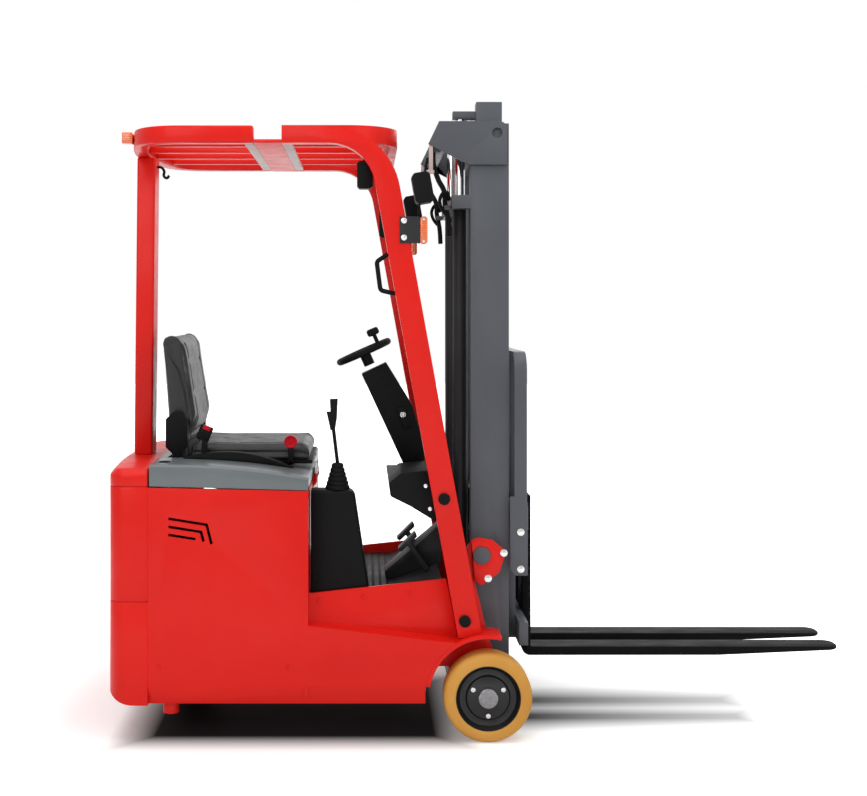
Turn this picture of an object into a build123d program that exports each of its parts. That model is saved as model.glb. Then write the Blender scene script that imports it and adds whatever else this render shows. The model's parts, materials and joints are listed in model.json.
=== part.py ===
from build123d import *
import math
import os

os.makedirs("parts", exist_ok=True)

# Compact electric counterbalance forklift, in millimetres.
# X runs forward from the front axle, Y to the driver's left, Z up from the floor.

# Wheels
FRONT_TYRE_R = 143
FRONT_TYRE_W = 100
FRONT_RIM_R = 103
TRACK_OUTER = 480
WHEEL_GAP = 25
STUB_R = 25
STUB_END_GAP = 5
HUB_RECESS = 5
HUB_BORE_END = 35
HUB_DISH = 22
HUB_LIP = 12
HUB_CAP_R = 72
HUB_CAP_DEPTH = 12
HUB_DOME_R = 34
WHEEL_BASE = 1000
REAR_TYRE_R = 125
REAR_TYRE_W = 90
REAR_RIM_R = 90
REAR_AXLE_R = 15
REAR_CLEAR = 12
STEER_PLATE = 170
STEER_PLATE_T = 22
STEER_FORK_T = 15
KING_PIN_R = 32
TYRE_ROUND = 12
RUNNING_FIT = 0.1

# Body
BODY_HALF = 470
PANEL_T = 12
PANEL_GAP = 2
SKIRT_Z = 119
TURN_IN_Z = 185
TURN_IN = 25
BODY_REAR_X = -1250
REAR_CORNER_X = -1218
REAR_CORNER_R = 55
SEAM_X = -1095
SEAM_Z = 822
PANEL_FRONT_X = -579
PANEL_FRONT_TOP_Z = 809
REAR_TOP_Z = 880
REAR_BOTTOM_ROUND = 110
CREASE_REAR_Z = 442
CREASE_MID_Z = 376
CREASE_FRONT_Z = 318
CREASE_FRONT_X = -90
GROOVE_Z = 451
GROOVE_D = 4
SILL_GAP = 40
SILL_REAR_Z = 464
SILL_FRONT_Z = 512
SILL_FRONT_X = -131
BODY_FRONT_X = -200
ARCH_R = 202
FENDER_T = 12
FENDER_INSET = 10
FENDER_OUT = TRACK_OUTER - FENDER_INSET
FENDER_FRONT_X = 45
FENDER_LOW_Z = 180
VENT_SETBACK = 67
VENT_DROP = 102
VENT_L = 123
VENT_PITCH = 26
VENT_STEP = 18
VENT_FALL = 0.16
VENT_T = 9
FOOT_SETBACK = 66
FOOT_INSET = 70
FOOT_R = 26
FOOT_LOW_Z = 79

# Chassis
PAN_Z = 125
PAN_T = 12
LEG_T = 30
LEG_OUT = TRACK_OUTER - FRONT_TYRE_W - WHEEL_GAP
LEG_IN = LEG_OUT - LEG_T
LEG_BOSS_R = 52
SILL_HALF = LEG_OUT + SILL_GAP
FLOOR_Z = 455
FLOOR_T = 12
SEAT_WALL_Z = 800
FLOOR_BREAK_X = -300
TOE_X = -145
TOE_Z = 512
BULKHEAD_T = 12
DRIVE_PLATE_Z = 290
DRIVE_PLATE_T = 12
WELL_HALF = 150
WINDOW_MARGIN = 60
WINDOW_H = 140
WINDOW_RISE = 15
BATTERY_REAR_X = WELL_HALF + 2 * BULKHEAD_T - WHEEL_BASE
BATTERY_FRONT_X = -595
BATTERY_SIDE_GAP = 58
BATTERY_HALF = BODY_HALF - PANEL_T - BATTERY_SIDE_GAP
BATTERY_TOP_Z = 780
MOTOR_R = 110
MOTOR_SIDES = 12
MOTOR_TOP_Z = 640

# Mast
PIVOT_X = -12
PIVOT_Z = 583
PIN_R = 29
MAST_GAP = 25
MAST_HALF = LEG_IN - MAST_GAP
MAST_REAR_X = -43
MAST_DEPTH = 128
MAST_BOTTOM_Z = 80
MAST_TOP_Z = 2015
MAST_FLANGE = 60
MAST_WEB_T = 14
MAST_FLANGE_T = 16
RAIL_GAP = 5
WEB_GAP = 7
INNER_WEB_T = 12
INNER_FLANGE = 60
INNER_BOTTOM_Z = 165
INNER_TOP_Z = 2090
LIFT_X = -73
LIFT_INSET = 85
LIFT_Y = MAST_HALF - LIFT_INSET
LIFT_BARREL_R = 24
LIFT_ROD_R = 17
LIFT_BORE_CLEAR = 1
LIFT_ROD_LOW_Z = 250
TIE_REAR_X = -105
TIE_FRONT_X = -50
LOW_TIE_Z = 90
LOW_TIE_H = 60
HIGH_TIE_Z = 1731
HIGH_TIE_H = 45
SHEAVE_X = -15
SHEAVE_Y = 130
SHEAVE_Z = 2005
SHEAVE_R = 50
SHEAVE_W = 22
CHAIN_T = 12
CHAIN_W = 18
CHAIN_PITCH = 25
CHAIN_WAIST = 8
CHAIN_SEAT = 0.3
CLEVIS_H = 24
CLEVIS_W = 26
ANCHOR_ROD_R = 6
ANCHOR_ROD_L = 80
NUT_R = 12
NUT_H = 10
CHAIN_LUG_Z = 500
CHAIN_LUG_T = 20
BRACKET_T = 12
BRACKET_REAR_X = -185
BRACKET_RISE = 6
BRACKET_H = 145
BRACKET_ROUND = 26
BRACKET_HOLE_R = 17
YOKE_DROP = 50
YOKE_H = 25
YOKE_IN = 22
YOKE_CLEAR = 5
CHEEK_T = 6
CHEEK_GAP = 3
SHEAVE_PIN_R = 10

# Carriage and forks
CARRIAGE_HALF = 320
BAR_FRONT_X = 147
BAR_T = 30
BAR_H = 76
LOW_BAR_Z = 275
HIGH_BAR_Z = 659
PLATE_INSET = 110
PLATE_IN = MAST_HALF - PLATE_INSET
PLATE_T = 22
ROLLER_R = 30
ROLLER_W = 38
BACKREST_TOP_Z = 1252
BACKREST_LOW_Z = 509
BACKREST_T = 12
BACKREST_D = 42
BACKREST_ROUND = 68
FORK_T = 30
FORK_W = 100
FORK_Y = 94
FORK_LENGTH = 1070
FORK_BOTTOM_Z = 196
FORK_TOP_Z = HIGH_BAR_Z + BAR_H + 15
FORK_HEEL_R = 28
FORK_TIP_R = 38
FORK_SEAT = 0.5
HOOK_D = 14
HOOK_H = 22
FORK_TIP_T = 12
FORK_TAPER_L = 420

# Tilt cylinders
TILT_INSET = 100
TILT_Y = MAST_HALF - TILT_INSET
TILT_Z = 235
TILT_REAR_X = -430
TILT_EYE_X = -152
TILT_BARREL_R = 28
TILT_ROD_R = 13
TILT_PIN_R = 12
TILT_SHAFT_R = 14
EYE_W = 20
EYE_R = 24
EYE_CLEAR = 2
LUG_GAP = 6
LUG_T = 8
LUG_HALF = 20
TILT_PLATE_T = 20
TILT_PLATE_HALF = 30
TILT_BARREL_L = 170
TILT_ROD_IN = 70
SHAFT_CLEAR = 0.3
TILT_BORE_CLEAR = 1

# Overhead guard
RAIL_W = 50
GUARD_HALF = SILL_HALF + RAIL_W
GUARD_TOP_Z = 1989
RAIL_H = 57
GUARD_FRONT_X = -288
GUARD_REAR_X = -1205
GUARD_REAR_SIDE_X = -1168
GUARD_CORNER = 165
PILLAR_FOOT_Z = 331
PILLAR_FOOT_X = -94
PILLAR_W = 78
PILLAR_SLOPE = 0.183
BEND_OUTER_R = 240
BEND_INNER_R = 150
BEND_START_X = -560
TROUGH_REAR_X = -758
TROUGH_FRONT_X = -666
TROUGH_T = 8
BAR_PITCH = 178
GUARD_BAR_W = 25
GUARD_BAR_H = 25
STRIP_W = 32
POST_W = 100
POST_BASE_REAR_X = -1212
POST_BASE_D = 64
POST_LEAN = 11
HANDLE_R = 7.5

# Hood and seat
HOOD_GAP = 5
HOOD_T = 8
HOOD_REAR_TOP_Z = 893
HOOD_MID_X = -850
HOOD_MID_TOP_Z = 887
HOOD_FRONT_TOP_Z = 851
HOOD_EDGE = 7
HINGE_X = -570
HINGE_Z = 815
HINGE_R = 7
HINGE_HALF = 100
HINGE_GAP = 1
HINGE_EAR_T = 8
SEAT_HALF = 235
SEAT_BASE_HALF = 300
BOLSTER_RISE = 27
WELL_DROP = 42
WELL_SIDE = 25
WELL_REAR_X = -1062
WELL_FLOOR_Z = HOOD_MID_TOP_Z - WELL_DROP
RAIL_RISE = 24
CUSHION_T = 48
SEAT_PAN_T = 12
CUSHION_BOTTOM_Z = WELL_FLOOR_Z + RAIL_RISE + SEAT_PAN_T
CUSHION_TOP_Z = CUSHION_BOTTOM_Z + CUSHION_T
SEAT_PAN_L = 470
SEAT_MID_X = -811
CUSHION_REAR_X = -1000
CUSHION_FRONT_X = -572
COVER_X = -1032
COVER_GAP = 2
COVER_T = 20
COVER_RISE = 46
BUCKLE_X = -938
KNOB_X = -647

# Cockpit
CONSOLE_IN = 300
CONSOLE_TOP_Z = 800
WHEEL_X = -400
WHEEL_Z = 1242
WHEEL_TILT = 24
WHEEL_RIM_R = 93
WHEEL_TUBE_R = 12
WHEEL_HUB_R = 20
WHEEL_HUB_H = 52
KNOB_TURN = 219
KNOB_R = 22
KNOB_H = 26
KNOB_NECK_H = 40
DASH_REAR_X = -318
DASH_FRONT_X = -140
DASH_LOW_Z = 683
DASH_CORNER_Z = 781
DASH_TOP_Z = 868
DASH_SHELF_Z = 792
DASH_POD_IN = 110
COLUMN_HALF = 48
COLUMN_FOOT_Z = 850
PEDAL_W = 60
TOE_PLATE_HALF = 60
CAP_OUTLINE = ((-36, 50), (-11, 58), (35, 51), (81, 13), (58, -56), (-2, -99), (-24, -83))
CAP_T = 15
PIN_PROUD = 17
LEVER_X = -487
LEVER_Y = -342
LEVER_LEAN = 0.12
BOOT_RIDGES = 6
BOOT_H = 85
BOOT_R = 40
BOOT_TOP_R = 14
BOOT_FOLD = 6
BOOT_SIDES = 20
ROD_R = 6
ROD_L = 112
GRIP_W = 24
GRIP_OUTLINE = ((-10, 0), (-23, 60), (-10, 60), (-12, 102), (14, 103), (11, 38), (5, 0))


def side_plane(y):
    # Plane along the truck, y to its right, facing right: local x is X and local y is Z.
    return Plane.XZ.offset(y)


def finish(piece, label):
    # Names a finished piece and writes it.
    piece.label = label
    export_step(piece, f"parts/{label}.step")


def body_plan():
    # Crowned plan outline of the rear body, ahead to the seam.
    with BuildSketch() as plan:
        with BuildLine():
            right = Line((SEAM_X, -BODY_HALF), (REAR_CORNER_X, -BODY_HALF))
            crown = ThreePointArc(right @ 1, (BODY_REAR_X, 0), (REAR_CORNER_X, BODY_HALF))
            far = Line(crown @ 1, (SEAM_X, BODY_HALF))
            Line(far @ 1, right @ 0)
        outline = make_face()
        fillet(outline.vertices().group_by(Axis.X)[0], REAR_CORNER_R)
    return plan.sketch


# Counterweight: crowned casting with a rounded lower edge and a pocket over the steered wheel
with BuildPart() as counterweight:
    with BuildSketch(Plane.XY.offset(SKIRT_Z)):
        add(body_plan())
    extrude(amount=SEAM_Z - SKIRT_Z)
    with BuildSketch(side_plane(-BODY_HALF)):
        with BuildLine():
            low = Line((SEAM_X, SKIRT_Z), (BODY_REAR_X + REAR_BOTTOM_ROUND, SKIRT_Z))
            bend = TangentArc(low @ 1, (BODY_REAR_X, SKIRT_Z + REAR_BOTTOM_ROUND), tangent=low % 1)
            back = Line(bend @ 1, (BODY_REAR_X, SEAM_Z))
            top = Line(back @ 1, (SEAM_X, SEAM_Z))
            Line(top @ 1, low @ 0)
        make_face()
    extrude(amount=2 * BODY_HALF, mode=Mode.INTERSECT)
    with BuildSketch(Plane.XY.offset(GROOVE_Z)):
        add(body_plan())
        offset(body_plan(), amount=-GROOVE_D, mode=Mode.SUBTRACT)
    extrude(amount=GROOVE_D, mode=Mode.SUBTRACT)
    with BuildSketch(Plane.XY):
        with Locations((-WHEEL_BASE, 0)):
            Rectangle(2 * WELL_HALF, 2 * WELL_HALF)
    extrude(amount=DRIVE_PLATE_Z, mode=Mode.SUBTRACT)
finish(counterweight.part, "counterweight")

# Rear cover over the counterweight, drawn in towards its top
with BuildPart() as rear_cover:
    with BuildSketch(Plane.XY.offset(SEAM_Z)):
        add(body_plan())
    extrude(amount=REAR_TOP_Z - SEAM_Z)
    rim = rear_cover.faces().sort_by(Axis.Z)[-1].edges().filter_by(
        lambda edge: edge.center().X < SEAM_X - 1)
    chamfer(rim, 20)
finish(rear_cover.part, "rear_cover")


def vents():
    # Three bent louvre slots on a body side, nested one inside the other.
    with BuildSketch() as slots:
        for nest in range(3):
            length = VENT_L - nest * VENT_STEP
            drop = (2 - nest) * VENT_PITCH * 1.2
            start = Vector(SEAM_X + VENT_SETBACK, SEAM_Z - VENT_DROP - nest * VENT_PITCH)
            bend = start + Vector(length, -VENT_FALL * length)
            with BuildLine():
                Line(start, bend)
                if drop:
                    Line(bend, bend + Vector(drop / 4, -drop))
            trace(line_width=VENT_T)
    return slots.sketch


# Body sides: one pressed side each, full height behind the floor and stepped in ahead of it
with BuildPart() as body_sides:
    with BuildSketch(Plane.YZ.offset(SEAM_X)):
        with BuildLine():
            Polyline(
                (-BODY_HALF, TURN_IN_Z),
                (-BODY_HALF, SEAM_Z),
                (-BODY_HALF + PANEL_T, SEAM_Z),
                (-BODY_HALF + PANEL_T, TURN_IN_Z),
                (-BODY_HALF + PANEL_T + TURN_IN, SKIRT_Z),
                (-BODY_HALF + TURN_IN, SKIRT_Z),
                close=True,
            )
        make_face()
    extrude(amount=-SEAM_X)
    with BuildSketch(side_plane(0)):
        with BuildLine():
            Polyline(
                (SEAM_X, SKIRT_Z),
                (SEAM_X, SEAM_Z - PANEL_GAP),
                (PANEL_FRONT_X, PANEL_FRONT_TOP_Z),
                (PANEL_FRONT_X, CREASE_MID_Z),
                (CREASE_FRONT_X, CREASE_FRONT_Z),
                (0, FRONT_TYRE_R),
                (BODY_FRONT_X, SKIRT_Z),
                close=True,
            )
        make_face()
    extrude(amount=BODY_HALF, mode=Mode.INTERSECT)
    with BuildSketch(side_plane(SILL_HALF)):
        with BuildLine():
            Polyline(
                (PANEL_FRONT_X, CREASE_MID_Z - PANEL_T),
                (PANEL_FRONT_X, CREASE_MID_Z),
                (CREASE_FRONT_X, CREASE_FRONT_Z),
                (CREASE_FRONT_X, CREASE_FRONT_Z - PANEL_T),
                close=True,
            )
        make_face()
    extrude(amount=BODY_HALF - SILL_HALF)
    with BuildSketch(side_plane(SILL_HALF - PANEL_T)):
        with BuildLine():
            Polyline(
                (PANEL_FRONT_X, CREASE_MID_Z - PANEL_T),
                (PANEL_FRONT_X, SILL_REAR_Z),
                (SILL_FRONT_X, SILL_FRONT_Z),
                (CREASE_FRONT_X, CREASE_FRONT_Z - PANEL_T),
                close=True,
            )
        make_face()
    extrude(amount=PANEL_T)
    with BuildSketch(side_plane(SILL_HALF - PANEL_T)):
        with Locations((PANEL_FRONT_X - PANEL_T / 2, (SKIRT_Z + PANEL_FRONT_TOP_Z) / 2)):
            Rectangle(PANEL_T, PANEL_FRONT_TOP_Z - SKIRT_Z - 5 * PANEL_T)
    extrude(amount=BODY_HALF - SILL_HALF + PANEL_T)
    with BuildSketch(side_plane(0)):
        with Locations((0, FRONT_TYRE_R)):
            Circle(ARCH_R)
    extrude(amount=BODY_HALF, mode=Mode.SUBTRACT)
    with BuildSketch(side_plane(BODY_HALF - PANEL_T)):
        add(vents())
    extrude(amount=PANEL_T, mode=Mode.SUBTRACT)
    mirror(about=Plane.XZ)
finish(body_sides.part, "body_sides")

# Fenders: arch flanges over the front wheels
arch_top = math.degrees(math.acos(FENDER_FRONT_X / ARCH_R))
arch_low = 180 - math.degrees(math.asin((FENDER_LOW_Z - FRONT_TYRE_R) / ARCH_R))
with BuildPart() as fenders:
    with BuildSketch(side_plane(LEG_OUT)):
        with BuildLine():
            outer = CenterArc((0, FRONT_TYRE_R), ARCH_R, arch_top, arch_low - arch_top)
            inner = CenterArc((0, FRONT_TYRE_R), ARCH_R - FENDER_T, arch_top, arch_low - arch_top)
            Line(outer @ 0, inner @ 0)
            Line(outer @ 1, inner @ 1)
        make_face()
    extrude(amount=FENDER_OUT - LEG_OUT)
    mirror(about=Plane.XZ)
finish(fenders.part, "fenders")

# Chassis: floor pan, front legs, bulkheads, drive plate and tilt shaft
with BuildPart() as chassis:
    with BuildSketch(Plane.XY.offset(PAN_Z)):
        pan_length = BODY_FRONT_X - SEAM_X
        with Locations((SEAM_X + pan_length / 2, 0)):
            Rectangle(pan_length, 2 * (BODY_HALF - PANEL_T - TURN_IN))
        with Locations((-WHEEL_BASE, 0)):
            Rectangle(2 * WELL_HALF, 2 * WELL_HALF, mode=Mode.SUBTRACT)
    extrude(amount=PAN_T)
    with BuildSketch(side_plane(LEG_IN)):
        with BuildLine():
            Polyline(
                (PANEL_FRONT_X, PAN_Z),
                (BODY_FRONT_X, PAN_Z),
                (BODY_FRONT_X, FRONT_TYRE_R + 72),
                (-120, FRONT_TYRE_R + 72),
                (-75, FRONT_TYRE_R - 63),
                (45, FRONT_TYRE_R - 63),
                (60, FRONT_TYRE_R - 43),
                (60, FRONT_TYRE_R + 37),
                (PIVOT_X + 20, 321),
                (PIVOT_X - 22, PIVOT_Z - 83),
                (PIVOT_X - 40, PIVOT_Z + 20),
                (TOE_X, FLOOR_Z - FLOOR_T),
                (PANEL_FRONT_X, FLOOR_Z - FLOOR_T),
                close=True,
            )
        make_face()
        with Locations((PIVOT_X, PIVOT_Z)):
            Circle(LEG_BOSS_R)
            Circle(PIN_R + RUNNING_FIT, mode=Mode.SUBTRACT)
    extrude(amount=LEG_T)
    mirror(about=Plane.XZ)
    with BuildSketch(Plane.YZ.offset(BODY_FRONT_X)):
        wall_h = FLOOR_Z - FLOOR_T - PAN_Z
        with Locations((0, PAN_Z + wall_h / 2)):
            Rectangle(2 * LEG_IN, wall_h)
        with Locations((0, TILT_Z + WINDOW_RISE)):
            Rectangle(2 * (TILT_Y + WINDOW_MARGIN), WINDOW_H, mode=Mode.SUBTRACT)
    extrude(amount=-BULKHEAD_T)
    with BuildSketch(Plane.YZ.offset(PANEL_FRONT_X)):
        with Locations((0, (PAN_Z + SEAT_WALL_Z) / 2)):
            Rectangle(2 * (SILL_HALF - PANEL_T), SEAT_WALL_Z - PAN_Z)
    extrude(amount=-BULKHEAD_T)
    with BuildSketch(side_plane(HINGE_HALF + HINGE_GAP)):
        with BuildLine():
            Polyline(
                (PANEL_FRONT_X, SEAT_WALL_Z - 30),
                (PANEL_FRONT_X, SEAT_WALL_Z),
                (HINGE_X - HINGE_R, HINGE_Z - 8),
                (HINGE_X - HINGE_R, HINGE_Z + 2),
                (HINGE_X - HINGE_R / 2, HINGE_Z + HINGE_R),
                (HINGE_X + HINGE_R / 2, HINGE_Z + HINGE_R),
                (HINGE_X + HINGE_R, HINGE_Z + 2),
                (HINGE_X + HINGE_R, SEAT_WALL_Z - 8),
                close=True,
            )
        make_face()
    extrude(amount=HINGE_EAR_T)
    mirror(about=Plane.XZ)
    with BuildSketch(Plane.YZ.offset(BATTERY_REAR_X - BULKHEAD_T)):
        with Locations((0, (PAN_Z + BATTERY_TOP_Z) / 2)):
            Rectangle(2 * (BODY_HALF - PANEL_T - TURN_IN), BATTERY_TOP_Z - PAN_Z)
    extrude(amount=-BULKHEAD_T)
    with BuildSketch(Plane.XY.offset(DRIVE_PLATE_Z)):
        plate_l = BATTERY_REAR_X - 2 * BULKHEAD_T - SEAM_X
        with Locations((SEAM_X + plate_l / 2, 0)):
            Rectangle(plate_l, 2 * (BODY_HALF - PANEL_T - TURN_IN))
        with Locations((-WHEEL_BASE, 0)):
            Circle(KING_PIN_R + RUNNING_FIT, mode=Mode.SUBTRACT)
    extrude(amount=DRIVE_PLATE_T)
    with BuildSketch(side_plane(-LEG_IN)):
        with Locations((TILT_REAR_X, TILT_Z)):
            Circle(TILT_SHAFT_R)
    extrude(amount=2 * LEG_IN)
finish(chassis.part, "chassis")

# Feet under the pan, clear of the floor
with BuildPart() as feet:
    foot_x = SEAM_X + FOOT_SETBACK
    foot_y = BODY_HALF - FOOT_INSET
    with BuildSketch(Plane.XY.offset(FOOT_LOW_Z)):
        with Locations((foot_x, -foot_y), (foot_x, foot_y)):
            Circle(FOOT_R)
    extrude(amount=PAN_Z - FOOT_LOW_Z)
finish(feet.part, "feet")

# Stub axles, one on each leg
with BuildPart() as axle_stubs:
    with BuildSketch(side_plane(LEG_OUT)):
        with Locations((0, FRONT_TYRE_R)):
            Circle(STUB_R)
    extrude(amount=TRACK_OUTER - HUB_BORE_END - STUB_END_GAP - LEG_OUT)
    mirror(about=Plane.XZ)
finish(axle_stubs.part, "axle_stubs")

# Heavy blocks inside
with BuildPart() as battery:
    with BuildSketch(Plane.XY.offset(PAN_Z + PAN_T)):
        with Locations(((BATTERY_REAR_X + BATTERY_FRONT_X) / 2, 0)):
            Rectangle(BATTERY_FRONT_X - BATTERY_REAR_X, 2 * BATTERY_HALF)
    extrude(amount=BATTERY_TOP_Z - PAN_Z - PAN_T)
finish(battery.part, "battery")

with BuildPart() as drive_motor:
    with BuildSketch(Plane.XY.offset(DRIVE_PLATE_Z + DRIVE_PLATE_T)):
        with Locations((-WHEEL_BASE + 20, 0)):
            RegularPolygon(MOTOR_R, MOTOR_SIDES)
    extrude(amount=MOTOR_TOP_Z - DRIVE_PLATE_Z - DRIVE_PLATE_T)
finish(drive_motor.part, "drive_motor")

# Floor plate rising to the toe board
with BuildPart() as floor_plate:
    with BuildSketch(side_plane(-(SILL_HALF - PANEL_T))):
        with BuildLine():
            Polyline(
                (PANEL_FRONT_X, FLOOR_Z - FLOOR_T),
                (PANEL_FRONT_X, FLOOR_Z),
                (FLOOR_BREAK_X, FLOOR_Z),
                (TOE_X, TOE_Z),
                (TOE_X, TOE_Z - FLOOR_T),
                (FLOOR_BREAK_X, FLOOR_Z - FLOOR_T),
                close=True,
            )
        make_face()
    extrude(amount=2 * (SILL_HALF - PANEL_T))
    add(chassis.part, mode=Mode.SUBTRACT)
finish(floor_plate.part, "floor_plate")

# Side console to the right of the driver's legs; the way in is on the left
with BuildPart() as side_console:
    with BuildSketch(side_plane(CONSOLE_IN)):
        with BuildLine():
            Polyline(
                (PANEL_FRONT_X + HOOD_GAP, FLOOR_Z),
                (PANEL_FRONT_X + HOOD_GAP, CONSOLE_TOP_Z),
                (-432, CONSOLE_TOP_Z),
                (-380, FLOOR_Z),
                close=True,
            )
        outline = make_face()
        fillet(outline.vertices().group_by(Axis.Y)[-1].sort_by(Axis.X)[-1], radius=28)
    extrude(amount=SILL_HALF - PANEL_T - CONSOLE_IN)
    chamfer(side_console.faces().filter_by(Axis.Z).group_by(Axis.Z)[-1].edges().filter_by(Axis.X), 8)
finish(side_console.part, "side_console")

# Dash console, fastened between the pillars: a pod at the right and a lower shelf to the left
dash_half = GUARD_HALF - RAIL_W
with BuildPart() as dash_console:
    with BuildSketch(side_plane(-dash_half)):
        with BuildLine():
            low_edge = Line((DASH_REAR_X + 5, DASH_CORNER_Z), (DASH_REAR_X + 70, DASH_CORNER_Z - 32))
            slope = Line(low_edge @ 1, (DASH_FRONT_X, DASH_LOW_Z))
            Polyline(
                slope @ 1,
                (DASH_FRONT_X - 30, DASH_TOP_Z),
                (DASH_REAR_X + 39, DASH_TOP_Z - 10),
                (DASH_REAR_X, DASH_CORNER_Z + 42),
                low_edge @ 0,
            )
        make_face()
    extrude(amount=2 * dash_half)
    with BuildSketch(Plane.XY.offset(DASH_SHELF_Z)):
        with Locations(((DASH_REAR_X + DASH_FRONT_X) / 2, (dash_half - DASH_POD_IN) / 2)):
            Rectangle(2 * (DASH_FRONT_X - DASH_REAR_X), dash_half + DASH_POD_IN)
    extrude(amount=DASH_TOP_Z - DASH_SHELF_Z, mode=Mode.SUBTRACT)
finish(dash_console.part, "dash_console")

# Steering column
with BuildPart() as steering_column:
    with BuildSketch(side_plane(-COLUMN_HALF)):
        with BuildLine():
            Polyline(
                (-408, 1164),
                (-321, 1205),
                (-228, 1054),
                (-186, 909),
                (-186, COLUMN_FOOT_Z),
                (-262, COLUMN_FOOT_Z),
                close=True,
            )
        make_face()
    extrude(amount=2 * COLUMN_HALF)
    add(dash_console.part, mode=Mode.SUBTRACT)
    fillet(steering_column.faces().sort_by(Axis.X)[0].edges().filter_by(
        lambda edge: abs(edge.center().Y) > COLUMN_HALF - 1), 12)
finish(steering_column.part, "steering_column")

# Steering wheel on its tilted axis
wheel_lean = math.radians(WHEEL_TILT)
wheel_axis = Vector(-math.sin(wheel_lean), 0, math.cos(wheel_lean))
wheel_plane = Plane(origin=(WHEEL_X, 0, WHEEL_Z), x_dir=(0, 1, 0), z_dir=wheel_axis)
with BuildPart() as steering_wheel:
    with BuildSketch(Plane(origin=wheel_plane.origin, x_dir=wheel_plane.x_dir, z_dir=wheel_plane.y_dir)):
        with Locations((WHEEL_RIM_R, 0)):
            RegularPolygon(WHEEL_TUBE_R, 6)
    revolve(axis=Axis(wheel_plane.origin, wheel_axis))
    with BuildSketch(wheel_plane.offset(-8)):
        for turn in (0, 120, 240):
            with Locations(Location((0, 0, 0), (0, 0, turn))):
                with Locations((WHEEL_RIM_R / 2, 0)):
                    Rectangle(WHEEL_RIM_R, 22)
    extrude(amount=10)
    with BuildSketch(wheel_plane.offset(-WHEEL_HUB_H)):
        Circle(WHEEL_HUB_R)
    extrude(amount=WHEEL_HUB_H + 8)
    with BuildSketch(wheel_plane):
        with PolarLocations(WHEEL_RIM_R, 1, start_angle=KNOB_TURN):
            Circle(KNOB_R / 3)
    extrude(amount=KNOB_NECK_H)
    with BuildSketch(wheel_plane.offset(KNOB_NECK_H)):
        with PolarLocations(WHEEL_RIM_R, 1, start_angle=KNOB_TURN):
            Circle(KNOB_R)
    extrude(amount=KNOB_H)
finish(steering_wheel.part, "steering_wheel")

# Pedals with their arms, and the sloping cover of the pedal box between them
with BuildPart() as pedals:
    for pedal_y in (TOE_PLATE_HALF + 90, TOE_PLATE_HALF - 120):
        with BuildSketch(side_plane(pedal_y)):
            with BuildLine():
                Polyline((-283, 574), (-272, 566), (-217, 618), (-226, 630), close=True)
            make_face()
            with BuildLine():
                Polyline((-252, 590), (-240, 601), (-178, 505), (-192, 497), close=True)
            make_face()
        extrude(amount=PEDAL_W)
    with BuildSketch(side_plane(-TOE_PLATE_HALF + 60)):
        with BuildLine():
            Polyline(
                (-324, FLOOR_Z),
                (-328, FLOOR_Z + 25),
                (-119, FLOOR_Z + 201),
                (-112, FLOOR_Z + 192),
                (TOE_X + 12, TOE_Z),
                (TOE_X, FLOOR_Z),
                close=True,
            )
        make_face()
    extrude(amount=2 * TOE_PLATE_HALF)
    add(floor_plate.part, mode=Mode.SUBTRACT)
finish(pedals.part, "pedals")

# Hydraulic lever: ridged boot, rod and grip
with BuildPart() as lever_boot:
    ridge_h = BOOT_H / BOOT_RIDGES
    with Locations((LEVER_X, LEVER_Y, CONSOLE_TOP_Z)):
        Cylinder(BOOT_TOP_R, BOOT_H, align=(Align.CENTER, Align.CENTER, Align.MIN))
    for ridge in range(BOOT_RIDGES):
        reach = BOOT_R - (BOOT_R - BOOT_TOP_R - BOOT_FOLD) * ridge / (BOOT_RIDGES - 1)
        foot_z = CONSOLE_TOP_Z + ridge * ridge_h
        for layer, radius in ((0, reach), (ridge_h / 2, reach - BOOT_FOLD)):
            with BuildSketch(Plane.XY.offset(foot_z + layer)):
                with Locations((LEVER_X, LEVER_Y)):
                    RegularPolygon(radius, BOOT_SIDES)
            extrude(amount=ridge_h / 2)
finish(lever_boot.part, "lever_boot")

with BuildPart() as hydraulic_lever:
    boot_top = Vector(LEVER_X, LEVER_Y, CONSOLE_TOP_Z + BOOT_H)
    rod_plane = Plane(origin=boot_top, x_dir=(0, 1, 0), z_dir=(-LEVER_LEAN, 0, 1))
    with BuildSketch(rod_plane):
        Circle(ROD_R)
    extrude(amount=ROD_L)
    grip_foot = rod_plane.offset(ROD_L - 2).origin
    with BuildSketch(side_plane(-LEVER_Y - GRIP_W / 2)):
        with BuildLine():
            Polyline(*[(grip_foot.X + x, grip_foot.Z + z) for x, z in GRIP_OUTLINE], close=True)
        make_face()
    extrude(amount=GRIP_W)
    add(lever_boot.part, mode=Mode.SUBTRACT)
finish(hydraulic_lever.part, "hydraulic_lever")


def guard_plan():
    # Plan outline of the roof loop: rounded corners and a crowned rear.
    corner_x = GUARD_FRONT_X - GUARD_CORNER
    rear_x = GUARD_REAR_SIDE_X + GUARD_CORNER
    side_y = GUARD_HALF - GUARD_CORNER
    with BuildSketch() as plan:
        with BuildLine():
            front = Line((GUARD_FRONT_X, -side_y), (GUARD_FRONT_X, side_y))
            near = TangentArc(front @ 0, (corner_x, -GUARD_HALF), tangent=(0, -1))
            far = TangentArc(front @ 1, (corner_x, GUARD_HALF), tangent=(0, 1))
            near_side = Line(near @ 1, (rear_x, -GUARD_HALF))
            far_side = Line(far @ 1, (rear_x, GUARD_HALF))
            near_rear = TangentArc(near_side @ 1, (GUARD_REAR_SIDE_X, -side_y), tangent=(-1, 0))
            far_rear = TangentArc(far_side @ 1, (GUARD_REAR_SIDE_X, side_y), tangent=(-1, 0))
            ThreePointArc(near_rear @ 1, (GUARD_REAR_X, 0), far_rear @ 1)
        make_face()
    return plan.sketch


rail_bottom_z = GUARD_TOP_Z - RAIL_H


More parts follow.
